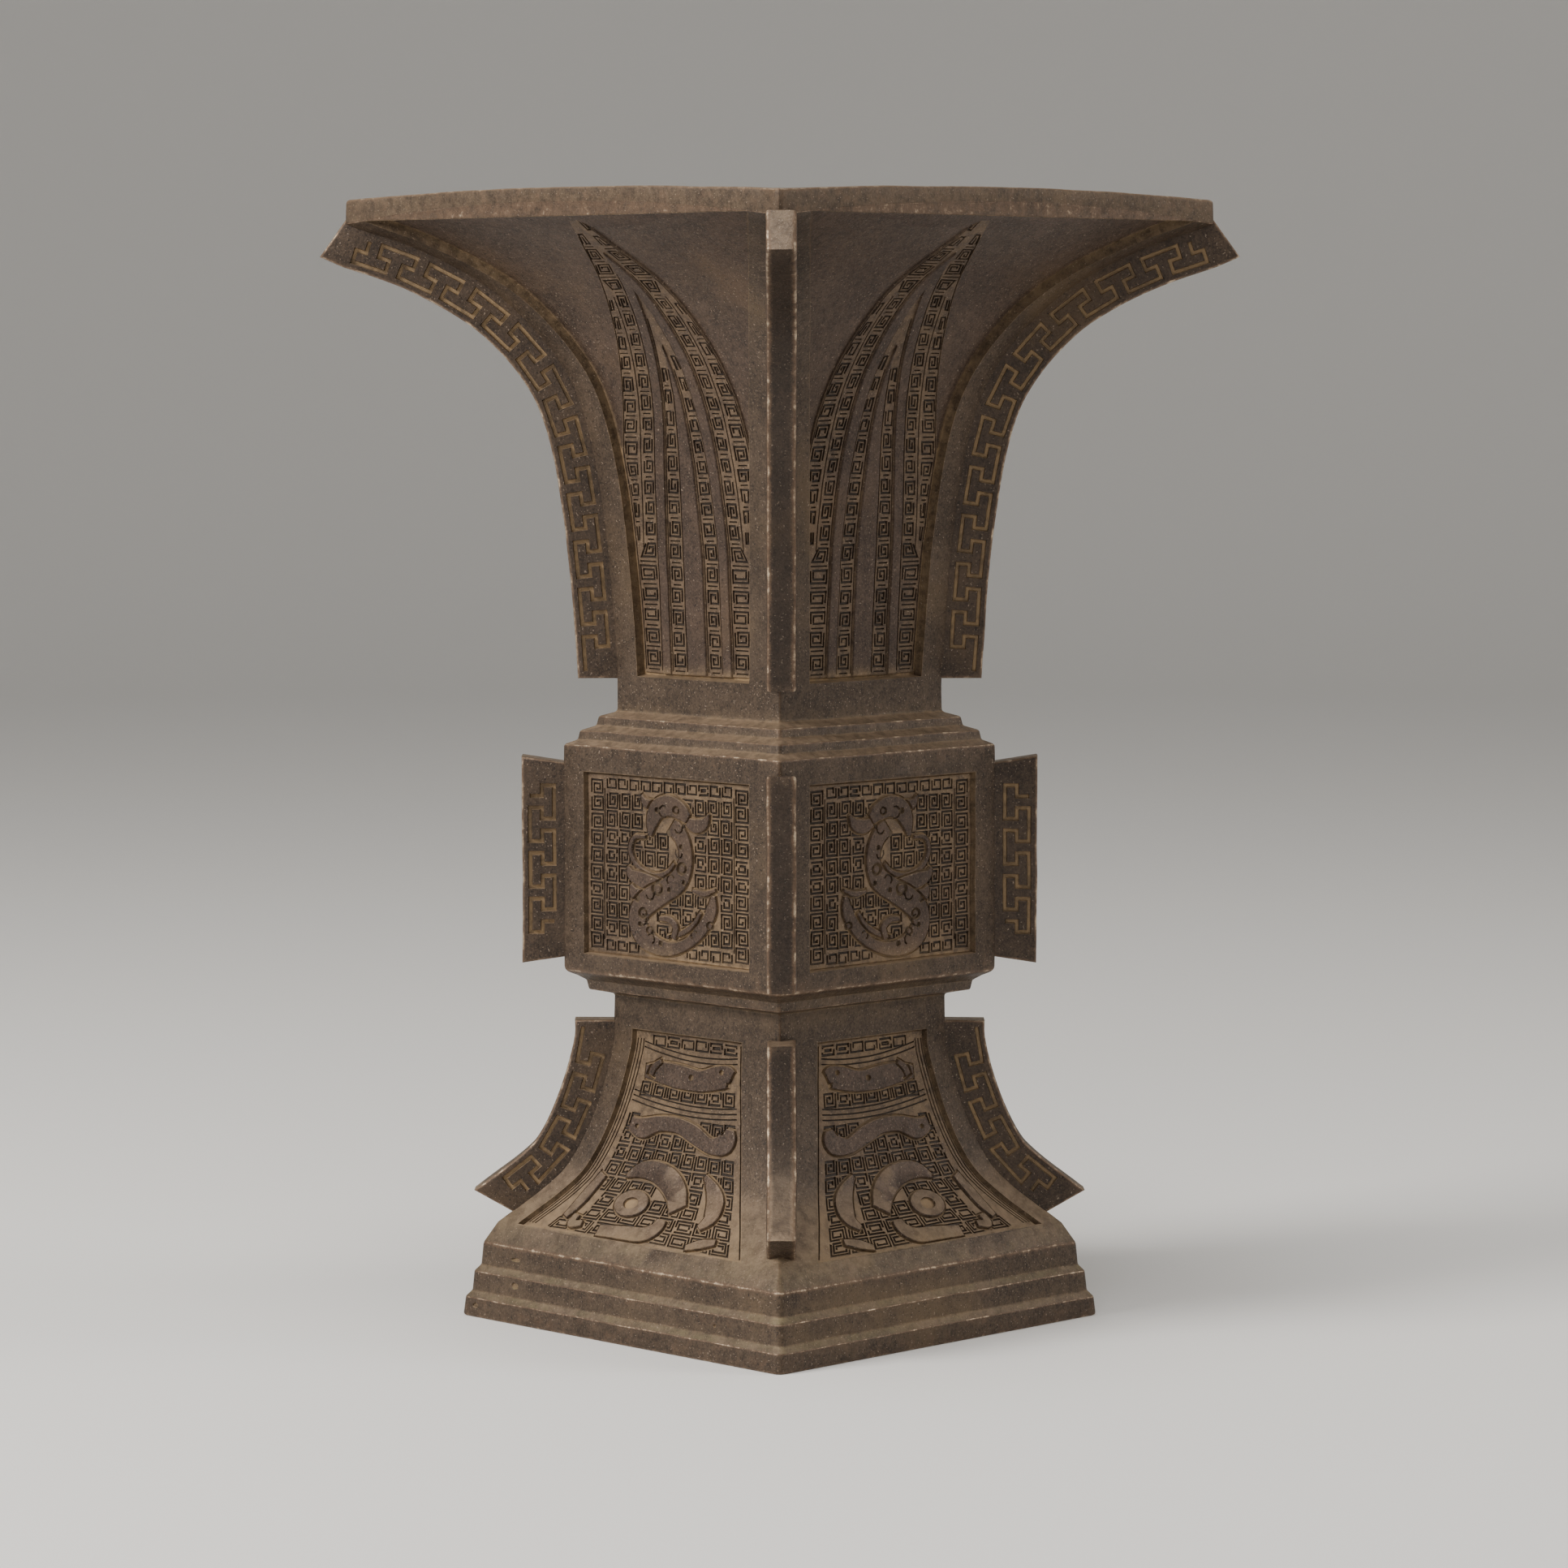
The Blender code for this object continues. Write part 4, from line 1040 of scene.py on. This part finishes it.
def build_flanges(material):
    """All twelve flanges as one piece."""
    parts = Parts()
    sides = [flange_mesh(edge, root, flip)
             for (edge, root), flip in zip(flange_outlines(), (False, True, True))]
    for x, y, shift in ((1, -1, NEAR_FLANGE_SHIFT), (1, 1, SIDE_FLANGE_SHIFT),
                        (-1, 1, 0.0), (-1, -1, -SIDE_FLANGE_SHIFT)):
        outwards = np.array((x, y), float) / ROOT_TWO
        across = np.array((-outwards[1], outwards[0]))
        for edge_points, outline, (flat, triangles, finish) in sides:
            for side in (-1, 1):
                offset = shift + side * (FLANGE_THICKNESS / 2 + finish[:, 0])
                plan = flat[:, :1] * outwards + offset[:, None] * across
                parts.add(np.hstack([plan, flat[:, 1:]]), finish, triangles)
            rim = np.array(outline)
            points = []
            looks = []
            half = FLANGE_THICKNESS / 2 - FLANGE_ROUNDING
            for step in range(EDGE_STEPS + 1):
                share = 2.0 * step / EDGE_STEPS - 1.0
                plan = rim[:, :1] * outwards + (shift + share * half) * across
                points.append(np.hstack([plan, rim[:, 1:]]))
                look = np.zeros((len(rim), 4))
                # Rubbed metal with a painted highlight on the rim's arrises; painted shade across
                # its outer face.
                look[:, 3] = 0.75 if abs(share) == 1.0 else 0.0
                look[1:edge_points - 1, 2] = 0.0 if abs(share) == 1.0 else 0.55
                looks.append(look)
            faces = []
            for step in range(EDGE_STEPS):
                for k in range(len(rim)):
                    a = step * len(rim) + k
                    b = step * len(rim) + (k + 1) % len(rim)
                    faces.append((a, b, b + len(rim), a + len(rim)))
            parts.add(np.vstack(points), np.vstack(looks), faces)
    return parts.piece("flanges", material)


flange_bronze = bronze("bronze_flanges", (0.021, 0.014, 0.010), (0.076, 0.051, 0.034),
                       (0.090, 0.056, 0.030), 1.0, 0.45, 0.17)
flanges = build_flanges(flange_bronze)


# The relief of the neck: a tall pointed blade in nested bands on every wall, squared spirals
# between fine lines in turn with plain raised strips, cut into the wax and cast with the vessel.
# Each panel is a slab let into its recess, drawn once for the near and once for the far walls.
GROOVE = 0.6
GROOVE_SIDE = 0.09
GROOVE_FLOOR = 0.04
GROUND = 0.5
RAISED = 1.0
SLAB_BACK = 0.25
PILED_EARTH = 3.2
SPIRAL_PITCH = 0.92
CENTRE_STRIP_HALF = 3.3
INNER_BAND = 6.0
PLAIN_BAND = 2.9
BLADE_GAP = 0.9
BLADE_TIP_GAP = 4.0
BLADE_TIP_SPACING = (15.0, 13.0, 16.0)
NECK_CELL = 5.3
CELL_INSET = 0.62
CELL_BAR = 1.25
SPLIT_WIDTH = 5.4
SPLIT_FROM = 8.2
hand = random.Random(7)


def spiral(width, height, margin):
    """A squared spiral winding into a cell, in millimetres from the cell's corner."""
    left, right, low, high = margin, width - margin, margin, height - margin
    path = [(left, low), (left, high), (right, high), (right, low)]
    while right - left > 1.35 * SPIRAL_PITCH and high - low > 1.35 * SPIRAL_PITCH:
        left += SPIRAL_PITCH
        high -= SPIRAL_PITCH
        path += [(left, low), (left, high)]
        right -= SPIRAL_PITCH
        low += SPIRAL_PITCH
        if right - left < 0.7 * SPIRAL_PITCH or high - low < 0.7 * SPIRAL_PITCH:
            break
        path += [(right, high), (right, low)]
    return path


def nested(width, height, margin):
    """Two brackets facing each other round a short bar."""
    step = SPIRAL_PITCH
    left, right, low, high = margin, width - margin, margin, height - margin
    middle = height / 2
    paths = [[(left, middle + 0.3 * step), (left, high), (right, high), (right, middle - 0.2)],
             [(right, low), (left, low), (left, middle - 0.5 * step)]]
    if width > 4.5 * step:
        paths.append([(left + step, middle - 0.4), (left + step, high - step),
                      (right - step, high - step), (right - step, low + step),
                      (left + 1.2 * step, low + step)])
    return paths


def draw_cell(drawing, corners, kind):
    """One cell of the spiral ground, stretched between its four corners."""
    a, b, c, d = (Vector((x + hand.uniform(-0.12, 0.12), y + hand.uniform(-0.12, 0.12)))
                  for x, y in corners)
    width = ((b - a).length + (c - d).length) / 2
    height = ((d - a).length + (c - b).length) / 2
    if min(width, height) < 1.6:
        return
    margin = hand.uniform(0.42, 0.52)
    paths = nested(width, height, margin) if kind == "nested" else [
        spiral(width, height, margin)]
    mirrored = kind == "mirrored" or (kind == "nested" and hand.random() < 0.5)
    upside = hand.random() < 0.5
    for path in paths:
        placed = []
        for x, y in path:
            p = 1.0 - x / width if mirrored else x / width
            q = 1.0 - y / height if upside else y / height
            placed.append(a.lerp(b, p).lerp(d.lerp(c, p), q))
        if len(placed) > 1 and (placed[0] - placed[1]).length > 0.5:
            cut_groove(drawing, placed, GROOVE * hand.uniform(0.86, 1.12),
                       GROOVE_FLOOR + hand.uniform(0.0, 0.10), GROOVE_SIDE)


def raised_area(drawing, outline, height, slope=0.22, shade=0.0):
    """A raised flat with a softened brim."""
    drawing.line(outline, closed=True)
    # A little rubbed colour, with painted highlight, on the softened brim.
    drawing.area(drawn_inwards(outline, 0.55 * slope), height - 0.14, shade=shade, wear_and_highlight=0.2)
    drawing.area(drawn_inwards(outline, 1.3 * slope), height, shade=shade)


def blade_reach(panel, width, point, v):
    """Left and right side of a blade at a length up the wall."""
    left, right = panel.edges(v)
    foot_left, foot_right = panel.edges(panel.low)
    centre = (foot_left + foot_right) / 2
    shoulder = panel.low + 0.28 * (point - panel.low)
    share = min(1.0, max(0.0, (v - shoulder) / (point - shoulder)))
    reach = width * (1.0 - share ** 1.7)
    return max(centre - reach, left + BLADE_GAP), min(centre + reach, right - BLADE_GAP)


def blade_outline(panel, width, point, inset=0.0):
    """The closed outline of one blade of the nest."""
    rows = np.linspace(panel.low + BLADE_GAP + inset, point - 0.3, 52)
    sides = [blade_reach(panel, width, point, float(v)) for v in rows]
    left, right = panel.edges(panel.low)
    outline = [(r - inset, float(v)) for (l, r), v in zip(sides, rows) if r - l > 2 * inset + 0.3]
    outline.append(((left + right) / 2, point - 2.5 * inset))
    outline += [(l + inset, float(v)) for (l, r), v in zip(sides, rows)
                if r - l > 2 * inset + 0.3][::-1]
    return outline


def band_cells(drawing, edges, low, high):
    """A column of spirals between two lines, with a short bar between the cells."""
    v = low
    index = hand.randrange(2)
    while v < high:
        top = v + NECK_CELL * hand.uniform(0.92, 1.08)
        (left0, right0), (left1, right1) = edges(v), edges(min(top, high))
        if min(right0 - left0, right1 - left1) < 2.6:
            v = top
            continue
        corners = [(left0 + CELL_INSET, v + CELL_BAR), (right0 - CELL_INSET, v + CELL_BAR),
                   (right1 - CELL_INSET, top - 0.1), (left1 + CELL_INSET, top - 0.1)]
        draw_cell(drawing, corners, ("plain", "mirrored")[index % 2])
        middle = (left0 + right0) / 2
        reach = (right0 - left0) / 2 - CELL_INSET - hand.uniform(0.2, 0.9)
        if reach > 0.7:
            y = v + 0.55 + hand.uniform(-0.08, 0.08)
            cut_groove(drawing, [(middle - reach, y), (middle + reach, y)], 0.42,
                       GROOVE_FLOOR, GROOVE_SIDE)
        index += 1
        v = top


def band_line(drawing, edge, low, high):
    """A fine line that follows the side of a band."""
    path = [(edge(v), v) for v in np.arange(low, high, 3.4).tolist()]
    if len(path) > 2:
        fine_line(drawing, path, 0.4)


def neck_drawing(panel):
    """The nested blade in its long panel."""
    drawing = Drawing()
    outline = panel.outline()
    drawing.area(outline, 0.0, hollow=0.9)
    drawing.area(drawn_inwards(outline, 1.3), 0.0, hollow=0.04, shade=0.2)
    foot_left, foot_right = panel.edges(panel.low)
    full = 0.625 * (foot_right - foot_left)
    widths = (full, CENTRE_STRIP_HALF + INNER_BAND + PLAIN_BAND, CENTRE_STRIP_HALF + INNER_BAND,
              CENTRE_STRIP_HALF)
    tips = [panel.high - BLADE_TIP_GAP - sum(BLADE_TIP_SPACING[:k]) for k in range(4)]
    start = panel.low + BLADE_GAP

    def side(k, side_index):
        return lambda v: blade_reach(panel, widths[k], tips[k], v)[side_index]

    for k, height in enumerate((GROUND, RAISED, GROUND, RAISED)):
        if height == RAISED:
            raised_area(drawing, blade_outline(panel, widths[k], tips[k]), height, shade=0.2)
        else:
            drawing.line(blade_outline(panel, widths[k], tips[k]), closed=True)
            drawing.area(blade_outline(panel, widths[k], tips[k], 0.2), height, hollow=0.30)
    for outer, inner, reach in ((0, 1, tips[1]), (2, 3, tips[3])):
        for which, sign in ((0, 1.0), (1, -1.0)):
            near = side(inner, which)
            far = side(outer, which)
            top = tips[outer] - 9.0

            def inner_edge(v, near=near, far=far, sign=sign, reach=reach):
                centre = (foot_left + foot_right) / 2
                return near(v) if v < reach - 1.5 else centre - sign * 0.5

            def split(v, inner_edge=inner_edge, far=far, sign=sign):
                room = abs(inner_edge(v) - far(v))
                return inner_edge(v) - sign * (SPLIT_WIDTH if room > SPLIT_FROM else room)

            def column(v, a, b):
                return (min(a(v), b(v)) + 0.2, max(a(v), b(v)) - 0.2)

            band_cells(drawing, lambda v: column(v, inner_edge, split), start + 0.4, top)
            band_cells(drawing, lambda v: column(v, split, far), start + 0.4, top)
            band_line(drawing, lambda v: inner_edge(v) - sign * 0.42, start + 0.8,
                      min(top, reach - 6.0))
            band_line(drawing, lambda v: far(v) + sign * 0.55, start + 0.8, top + 2.0)
            wide = [v for v in np.arange(start, top, 2.0)
                    if abs(inner_edge(v) - far(v)) > SPLIT_FROM]
            if wide:
                band_line(drawing, lambda v: split(v) + sign * 0.05, float(wide[0]) + 1.0,
                          float(wide[-1]))
    return drawing


def boundary_loop(triangles):
    """The vertices round the edge of a triangulation, in order."""
    edges = dict.fromkeys(edge for a, b, c in triangles for edge in ((a, b), (b, c), (c, a)))
    border = {a: b for a, b in edges if (b, a) not in edges}
    loop = [next(iter(border))]
    while border[loop[-1]] != loop[0]:
        loop.append(border[loop[-1]])
    return loop


def slab_sides(panel, drawing):
    """Face and back of a slab, laid flat, and the pairs of points round their edges."""
    flat, triangles, finish = face = drawing.triangles()
    piled = np.clip(1.0 - (flat[:, 1] - panel.low) / PILED_EARTH, 0.0, 1.0)
    finish[:, 1] = np.maximum(finish[:, 1], 0.95 * piled)
    finish[:, 2] *= 1.0 - 0.6 * piled
    loop = boundary_loop(triangles)
    plain = Drawing()
    plain.line([flat[i] for i in loop], closed=True)
    for v in panel.rows[1:-1]:
        left, right = panel.edges(v)
        plain.line([(left + 1.0, v), (right - 1.0, v)])
    back = plain.triangles()
    back_loop = boundary_loop(back[1])
    first = np.argmin(np.linalg.norm(back[0][back_loop] - flat[loop[0]], axis=1))
    return face, back, list(zip(loop, back_loop[first:] + back_loop[:first]))


def build_relief(name, panels, draw, material):
    """Four slabs with the drawing on their face, let into the recesses of the four walls."""
    slabs = [slab_sides(panel, draw(panel)) for panel in panels]
    parts = Parts()
    for turn in range(4):
        recess = panels[turn // 2].recess
        (flat, triangles, finish), (back_flat, back_triangles, back_finish), pairs = slabs[
            turn // 2]
        start = parts.add(on_wall(turn, flat, finish[:, 0] - recess), finish, triangles)
        depth = np.full(len(back_flat), -recess - BEDDING - SLAB_BACK)
        behind = parts.add(on_wall(turn, back_flat, depth), back_finish, back_triangles)
        parts.faces += [(start + a, start + b, behind + d, behind + c)
                        for (a, c), (b, d) in zip(pairs, pairs[1:] + pairs[:1])]
    return parts.piece(name, material)


relief_bronze = bronze("bronze_relief", (0.027, 0.017, 0.012), (0.096, 0.063, 0.045),
                       (0.108, 0.066, 0.037), 1.0, 0.48, 0.13)
neck_relief = build_relief("neck_relief", (front_panels[0], back_panels[0]), neck_drawing,
                           relief_bronze)


# The relief of the bulb: a coiling dragon in flat low relief on a ground of squared spirals,
# with a border of spirals round it.
BULB_CELL = (4.7, 4.3)
BORDER_CELL = (4.2, 3.6)
BORDER = 0.105
BORDER_RIM = 0.07
FIGURE = 0.95
DITCH = 0.5


def ribbon(spine, widths, pieces=5):
    """The outline of a band that follows a curve, with its width given at each point."""
    curve = smooth_curve([(x, y, w) for (x, y), w in zip(spine, widths)], pieces)
    left = []
    right = []
    for i, (x, y, width) in enumerate(curve):
        before = curve[max(i - 1, 0)]
        after = curve[min(i + 1, len(curve) - 1)]
        step = Vector((after[0] - before[0], after[1] - before[1])).normalized()
        left.append((x - step.y * width / 2, y + step.x * width / 2))
        right.append((x + step.y * width / 2, y - step.x * width / 2))
    return left + right[::-1]


def ellipse(centre, across, up_wall, sides=18):
    """The outline of an ellipse."""
    return [(centre[0] + across * math.cos(math.tau * k / sides),
             centre[1] + up_wall * math.sin(math.tau * k / sides)) for k in range(sides)]


def draw_oval(drawing, centre, brim, floor, height, sides=18, hollow=0.0, shade=0.0):
    """A small oval: its brim and its floor or top, each given by its two half widths."""
    drawing.line(ellipse(centre, *brim, sides), closed=True)
    drawing.area(ellipse(centre, *floor, sides), height, hollow=hollow, shade=shade)


def kept_inside(panel, outline, margin=0.7):
    """An outline held back from the panel's edges."""
    held = []
    for s, v in outline:
        v = min(max(v, panel.low + margin), panel.high - margin)
        left, right = panel.edges(v)
        held.append((min(max(s, left + margin), right - margin), v))
    return held


def stroke(panel, unit, spine, widths):
    """A stroke of a figure: its spine in shares of the panel, its widths in units."""
    return kept_inside(panel, ribbon([panel.place(*p) for p in spine],
                                     [w * unit for w in widths]))


def draw_figure(drawing, outline):
    """A raised figure with the ditch that parts it from the ground."""
    drawing.line(drawn_inwards(outline, -DITCH), closed=True)
    # The ditch floor: earth and some painted shade.
    drawing.area(drawn_inwards(outline, 0.14 - DITCH), GROOVE_FLOOR, hollow=0.9, shade=0.35)
    raised_area(drawing, outline, FIGURE)


def draw_ground(drawing, panel, box, cell, figures):
    """Rows of spiral cells in a part of the panel, left out under the figures."""
    across0, across1, up0, up1 = box
    a, c = panel.place(across0, up0), panel.place(across1, up1)
    middle = (up0 + up1) / 2
    width = abs(panel.place(across1, middle)[0] - panel.place(across0, middle)[0])
    columns = max(1, round(width / cell[0]))
    rows = max(1, round((c[1] - a[1]) / cell[1]))
    for row in range(rows):
        low = up0 + (up1 - up0) * row / rows
        high = up0 + (up1 - up0) * (row + 1) / rows
        for column in range(columns):
            left = across0 + (across1 - across0) * column / columns
            right = across0 + (across1 - across0) * (column + 1) / columns
            corners = [panel.place(left, low), panel.place(right, low),
                       panel.place(right, high), panel.place(left, high)]
            spots = np.array([panel.place(left + (right - left) * i / 2,
                                          low + (high - low) * j / 2)
                              for i in range(3) for j in range(3)])
            covered = {i for figure in figures for i in inside_or_on(figure, spots).tolist()}
            if len(covered) < 5:
                kind = hand.choice(("plain", "mirrored", "plain", "mirrored", "nested"))
                draw_cell(drawing, corners, kind)


def ground_of(panel):
    """A drawing with the sunk edge and the flat ground of a panel."""
    drawing = Drawing()
    outline = panel.outline()
    drawing.area(outline, 0.0, hollow=1.0)
    drawing.area(drawn_inwards(outline, 0.5), GROUND, hollow=0.48)
    return drawing


def bulb_drawing(panel):
    """The coiling dragon, its ground and its border."""
    left, right = panel.edges(panel.low)
    shape = partial(stroke, panel, (right - left) / 100.0)
    beak = shape([(0.745, 0.822), (0.716, 0.77), (0.662, 0.753), (0.608, 0.774)], [1, 5, 6, 4])
    head = shape([(0.618, 0.787), (0.574, 0.826), (0.505, 0.85), (0.436, 0.824), (0.402, 0.758),
                  (0.39, 0.676)], [5, 8, 9, 9, 7, 2])
    crest = shape([(0.422, 0.835), (0.363, 0.856), (0.341, 0.897)], [6, 4, 1])
    body = shape([(0.52, 0.746), (0.578, 0.683), (0.606, 0.601), (0.598, 0.516), (0.559, 0.445),
                  (0.48, 0.387), (0.397, 0.333), (0.333, 0.268), (0.316, 0.194), (0.353, 0.125),
                  (0.426, 0.082), (0.515, 0.073), (0.608, 0.108), (0.681, 0.174),
                  (0.733, 0.242), (0.763, 0.312), (0.773, 0.388)],
                 [8, 8, 8, 9, 10, 10, 11, 11, 10, 10, 8, 6, 5, 6, 6, 6, 2])
    loop = shape([(0.363, 0.67), (0.294, 0.66), (0.27, 0.585), (0.314, 0.504), (0.407, 0.465),
                  (0.49, 0.485), (0.537, 0.54)], [1.6, 2.2, 2.4, 2.4, 2.4, 2.4, 1.6])
    limb = shape([(0.451, 0.406), (0.353, 0.431), (0.279, 0.454), (0.255, 0.499)],
                 [7, 7, 5, 1.5])
    hip = shape([(0.363, 0.326), (0.299, 0.354), (0.275, 0.403)], [7, 6, 1.5])
    tail = shape([(0.696, 0.289), (0.647, 0.213), (0.569, 0.161), (0.49, 0.134)],
                 [1.5, 2.4, 2.4, 1.8])
    curl = shape([(0.529, 0.13), (0.544, 0.194), (0.505, 0.233), (0.446, 0.232)],
                 [3, 3.4, 3, 2])
    leaf = shape([(0.784, 0.419), (0.716, 0.391), (0.647, 0.402)], [1.5, 2.6, 1.5])
    figures = (loop, tail, leaf, limb, hip, beak, crest, body, head, curl)
    drawing = ground_of(panel)
    inner = (BORDER + 0.012, 0.99 - BORDER)
    for box, cell in (((0.02, BORDER, 0.03, 0.97), BULB_CELL),
                      ((1.0 - BORDER, 0.98, 0.03, 0.97), BULB_CELL),
                      ((*inner, 0.02, 0.02 + BORDER_RIM), BORDER_CELL),
                      ((*inner, 0.98 - BORDER_RIM, 0.98), BORDER_CELL),
                      ((*inner, 0.03 + BORDER_RIM, 0.97 - BORDER_RIM), BULB_CELL)):
        draw_ground(drawing, panel, box, cell, figures)
    for across in (BORDER + 0.004, 0.996 - BORDER):
        fine_line(drawing, [panel.place(across, k / 12.0) for k in range(1, 12)])
    for figure in figures:
        draw_figure(drawing, figure)
    # Sunk rings, darkened with painted shade, round small raised bosses.
    for across, up_wall, size in ((0.588, 0.515, 1.9), (0.439, 0.396, 2.2), (0.353, 0.253, 1.7),
                                  (0.755, 0.223, 1.3), (0.549, 0.828, 1.3), (0.392, 0.16, 1.3)):
        centre = panel.place(across, up_wall)
        draw_oval(drawing, centre, (size, 0.9 * size), (size - 0.15, 0.9 * size - 0.15), 0.25,
                  hollow=0.9, shade=0.7)
        draw_oval(drawing, centre, (0.6 * size, 0.55 * size), (0.48 * size, 0.43 * size),
                  FIGURE - 0.1, 12)
    for across, up_wall, start, size in ((0.475, 0.815, 60, 1.5), (0.565, 0.735, 200, 1.4),
                                         (0.565, 0.60, 150, 1.5), (0.52, 0.45, 20, 1.3),
                                         (0.395, 0.36, 190, 1.4), (0.35, 0.215, 240, 1.4),
                                         (0.40, 0.115, 290, 1.3), (0.66, 0.165, 30, 1.1)):
        x, y = panel.place(across, up_wall)
        arc = [(x + size * math.cos(math.radians(start + 42 * k)),
                y + size * math.sin(math.radians(start + 42 * k))) for k in range(6)]
        cut_groove(drawing, arc, 0.55, 0.35, GROOVE_SIDE, hollow=0.6, shade=0.8)
    # Sunk dots darkened with painted shade.
    for across, up_wall, size in ((0.436, 0.82, 0.7), (0.50, 0.70, 0.9), (0.58, 0.632, 0.6),
                                  (0.51, 0.394, 0.6), (0.319, 0.33, 0.9), (0.461, 0.098, 0.7),
                                  (0.60, 0.44, 0.6), (0.336, 0.19, 0.6)):
        draw_oval(drawing, panel.place(across, up_wall), (size + 0.15, size + 0.15),
                  (size, size), 0.3, 12, hollow=0.8, shade=0.7)
    return drawing


bulb_relief = build_relief("bulb_relief", (front_panels[1], back_panels[1]), bulb_drawing,
                           relief_bronze)


# The relief of the foot: half of a beast's mask on each wall, made whole with its mirror image
# round the corner, under a small dragon between rows of spirals.
FOOT_CELL = (5.0, 4.1)
FOOT_STROKE = 1.22


def foot_drawing(panel):
    """The half mask with horn, brow, eye, ear and jaw, and the dragon above it."""
    unit = (panel.high - panel.low) / 100.0
    shape = partial(stroke, panel, FOOT_STROKE * unit)
    dragon = shape([(0.15, 0.815), (0.29, 0.818), (0.45, 0.811), (0.62, 0.805), (0.75, 0.825),
                    (0.87, 0.84), (0.895, 0.835)], [5, 8, 9, 8, 9, 8, 4])
    tail = shape([(0.20, 0.80), (0.22, 0.84), (0.27, 0.87)], [3, 3, 2])
    horn = shape([(0.14, 0.575), (0.24, 0.56), (0.36, 0.592), (0.50, 0.595), (0.63, 0.565),
                  (0.76, 0.525), (0.87, 0.55), (0.90, 0.61)], [5, 8, 6, 6, 7, 6, 9, 4])
    brow = shape([(0.26, 0.335), (0.33, 0.372), (0.43, 0.376), (0.53, 0.345), (0.60, 0.29),
                  (0.64, 0.215)], [2, 6, 8, 9, 9, 8])
    ear = shape([(0.75, 0.39), (0.81, 0.33), (0.835, 0.27), (0.825, 0.20), (0.775, 0.14)],
                [2, 6, 8, 7, 3])
    jaw = shape([(0.33, 0.04), (0.45, 0.05), (0.53, 0.06), (0.575, 0.10), (0.585, 0.155)],
                [6, 7, 7, 7, 5])
    hook = shape([(0.175, 0.115), (0.19, 0.06), (0.235, 0.07)], [3.5, 4, 3])
    side_bar = shape([(0.115, 0.33), (0.115, 0.25), (0.125, 0.17), (0.13, 0.09)], [4, 5, 5, 3])
    chin = shape([(0.74, 0.03), (0.80, 0.06), (0.87, 0.085)], [3, 4.5, 3])
    eye_centre = panel.place(0.385, 0.21)
    eye = ellipse(eye_centre, 10.5 * unit, 7.2 * unit, 24)
    figures = (dragon, tail, horn, brow, ear, jaw, hook, side_bar, chin, eye)
    drawing = ground_of(panel)
    top, upper, lower = 0.92, 0.745, 0.665
    for box, cell in (((0.16, 0.94, top + 0.008, 0.985), (5.2, 3.9)),
                      ((0.13, 0.93, upper - 0.045, upper + 0.03), (5.2, 4.0)),
                      ((0.10, 0.935, 0.02, lower - 0.035), FOOT_CELL)):
        draw_ground(drawing, panel, box, cell, figures)
    spacing = 1.25 * unit / (panel.high - panel.low)
    for height, count in ((top - 0.012, 2), (lower, 3)):
        for k in range(count):
            path = []
            for step in range(13):
                across = 0.09 + 0.85 * step / 12.0
                sag = 0.035 * (1.0 - (2.0 * (across - 0.62)) ** 2)
                path.append(panel.place(across, height - sag + 1.9 * k * spacing + 0.012))
            fine_line(drawing, path)
    for k in range(3):
        path = [panel.place(0.0, 0.03 + 0.93 * step / 17.0) for step in range(18)]
        fine_line(drawing, [(s + 1.1 + 1.05 * k, v) for s, v in path], 0.4)
    path = [panel.place(1.0, 0.02 + 0.96 * step / 17.0) for step in range(18)]
    fine_line(drawing, [(s - 1.3, v) for s, v in path])
    for figure in figures:
        draw_figure(drawing, figure)
    draw_oval(drawing, eye_centre, (4.6 * unit, 3.1 * unit), (4.3 * unit, 2.8 * unit), 0.30,
              hollow=1.0)
    # Sunk ovals darkened with painted shade.
    for across, up_wall, size in ((0.81, 0.855, 1.3), (0.55, 0.815, 1.5), (0.87, 0.80, 1.0),
                                  (0.24, 0.79, 0.9), (0.20, 0.565, 1.2)):
        wide, tall = size * unit, 0.8 * size * unit
        draw_oval(drawing, panel.place(across, up_wall), (wide + 0.15, tall + 0.15),
                  (wide, tall), 0.3, 10, hollow=0.9, shade=0.4)
    return drawing


foot_relief = build_relief("foot_relief", (front_panels[2], back_panels[2]), foot_drawing,
                           relief_bronze)
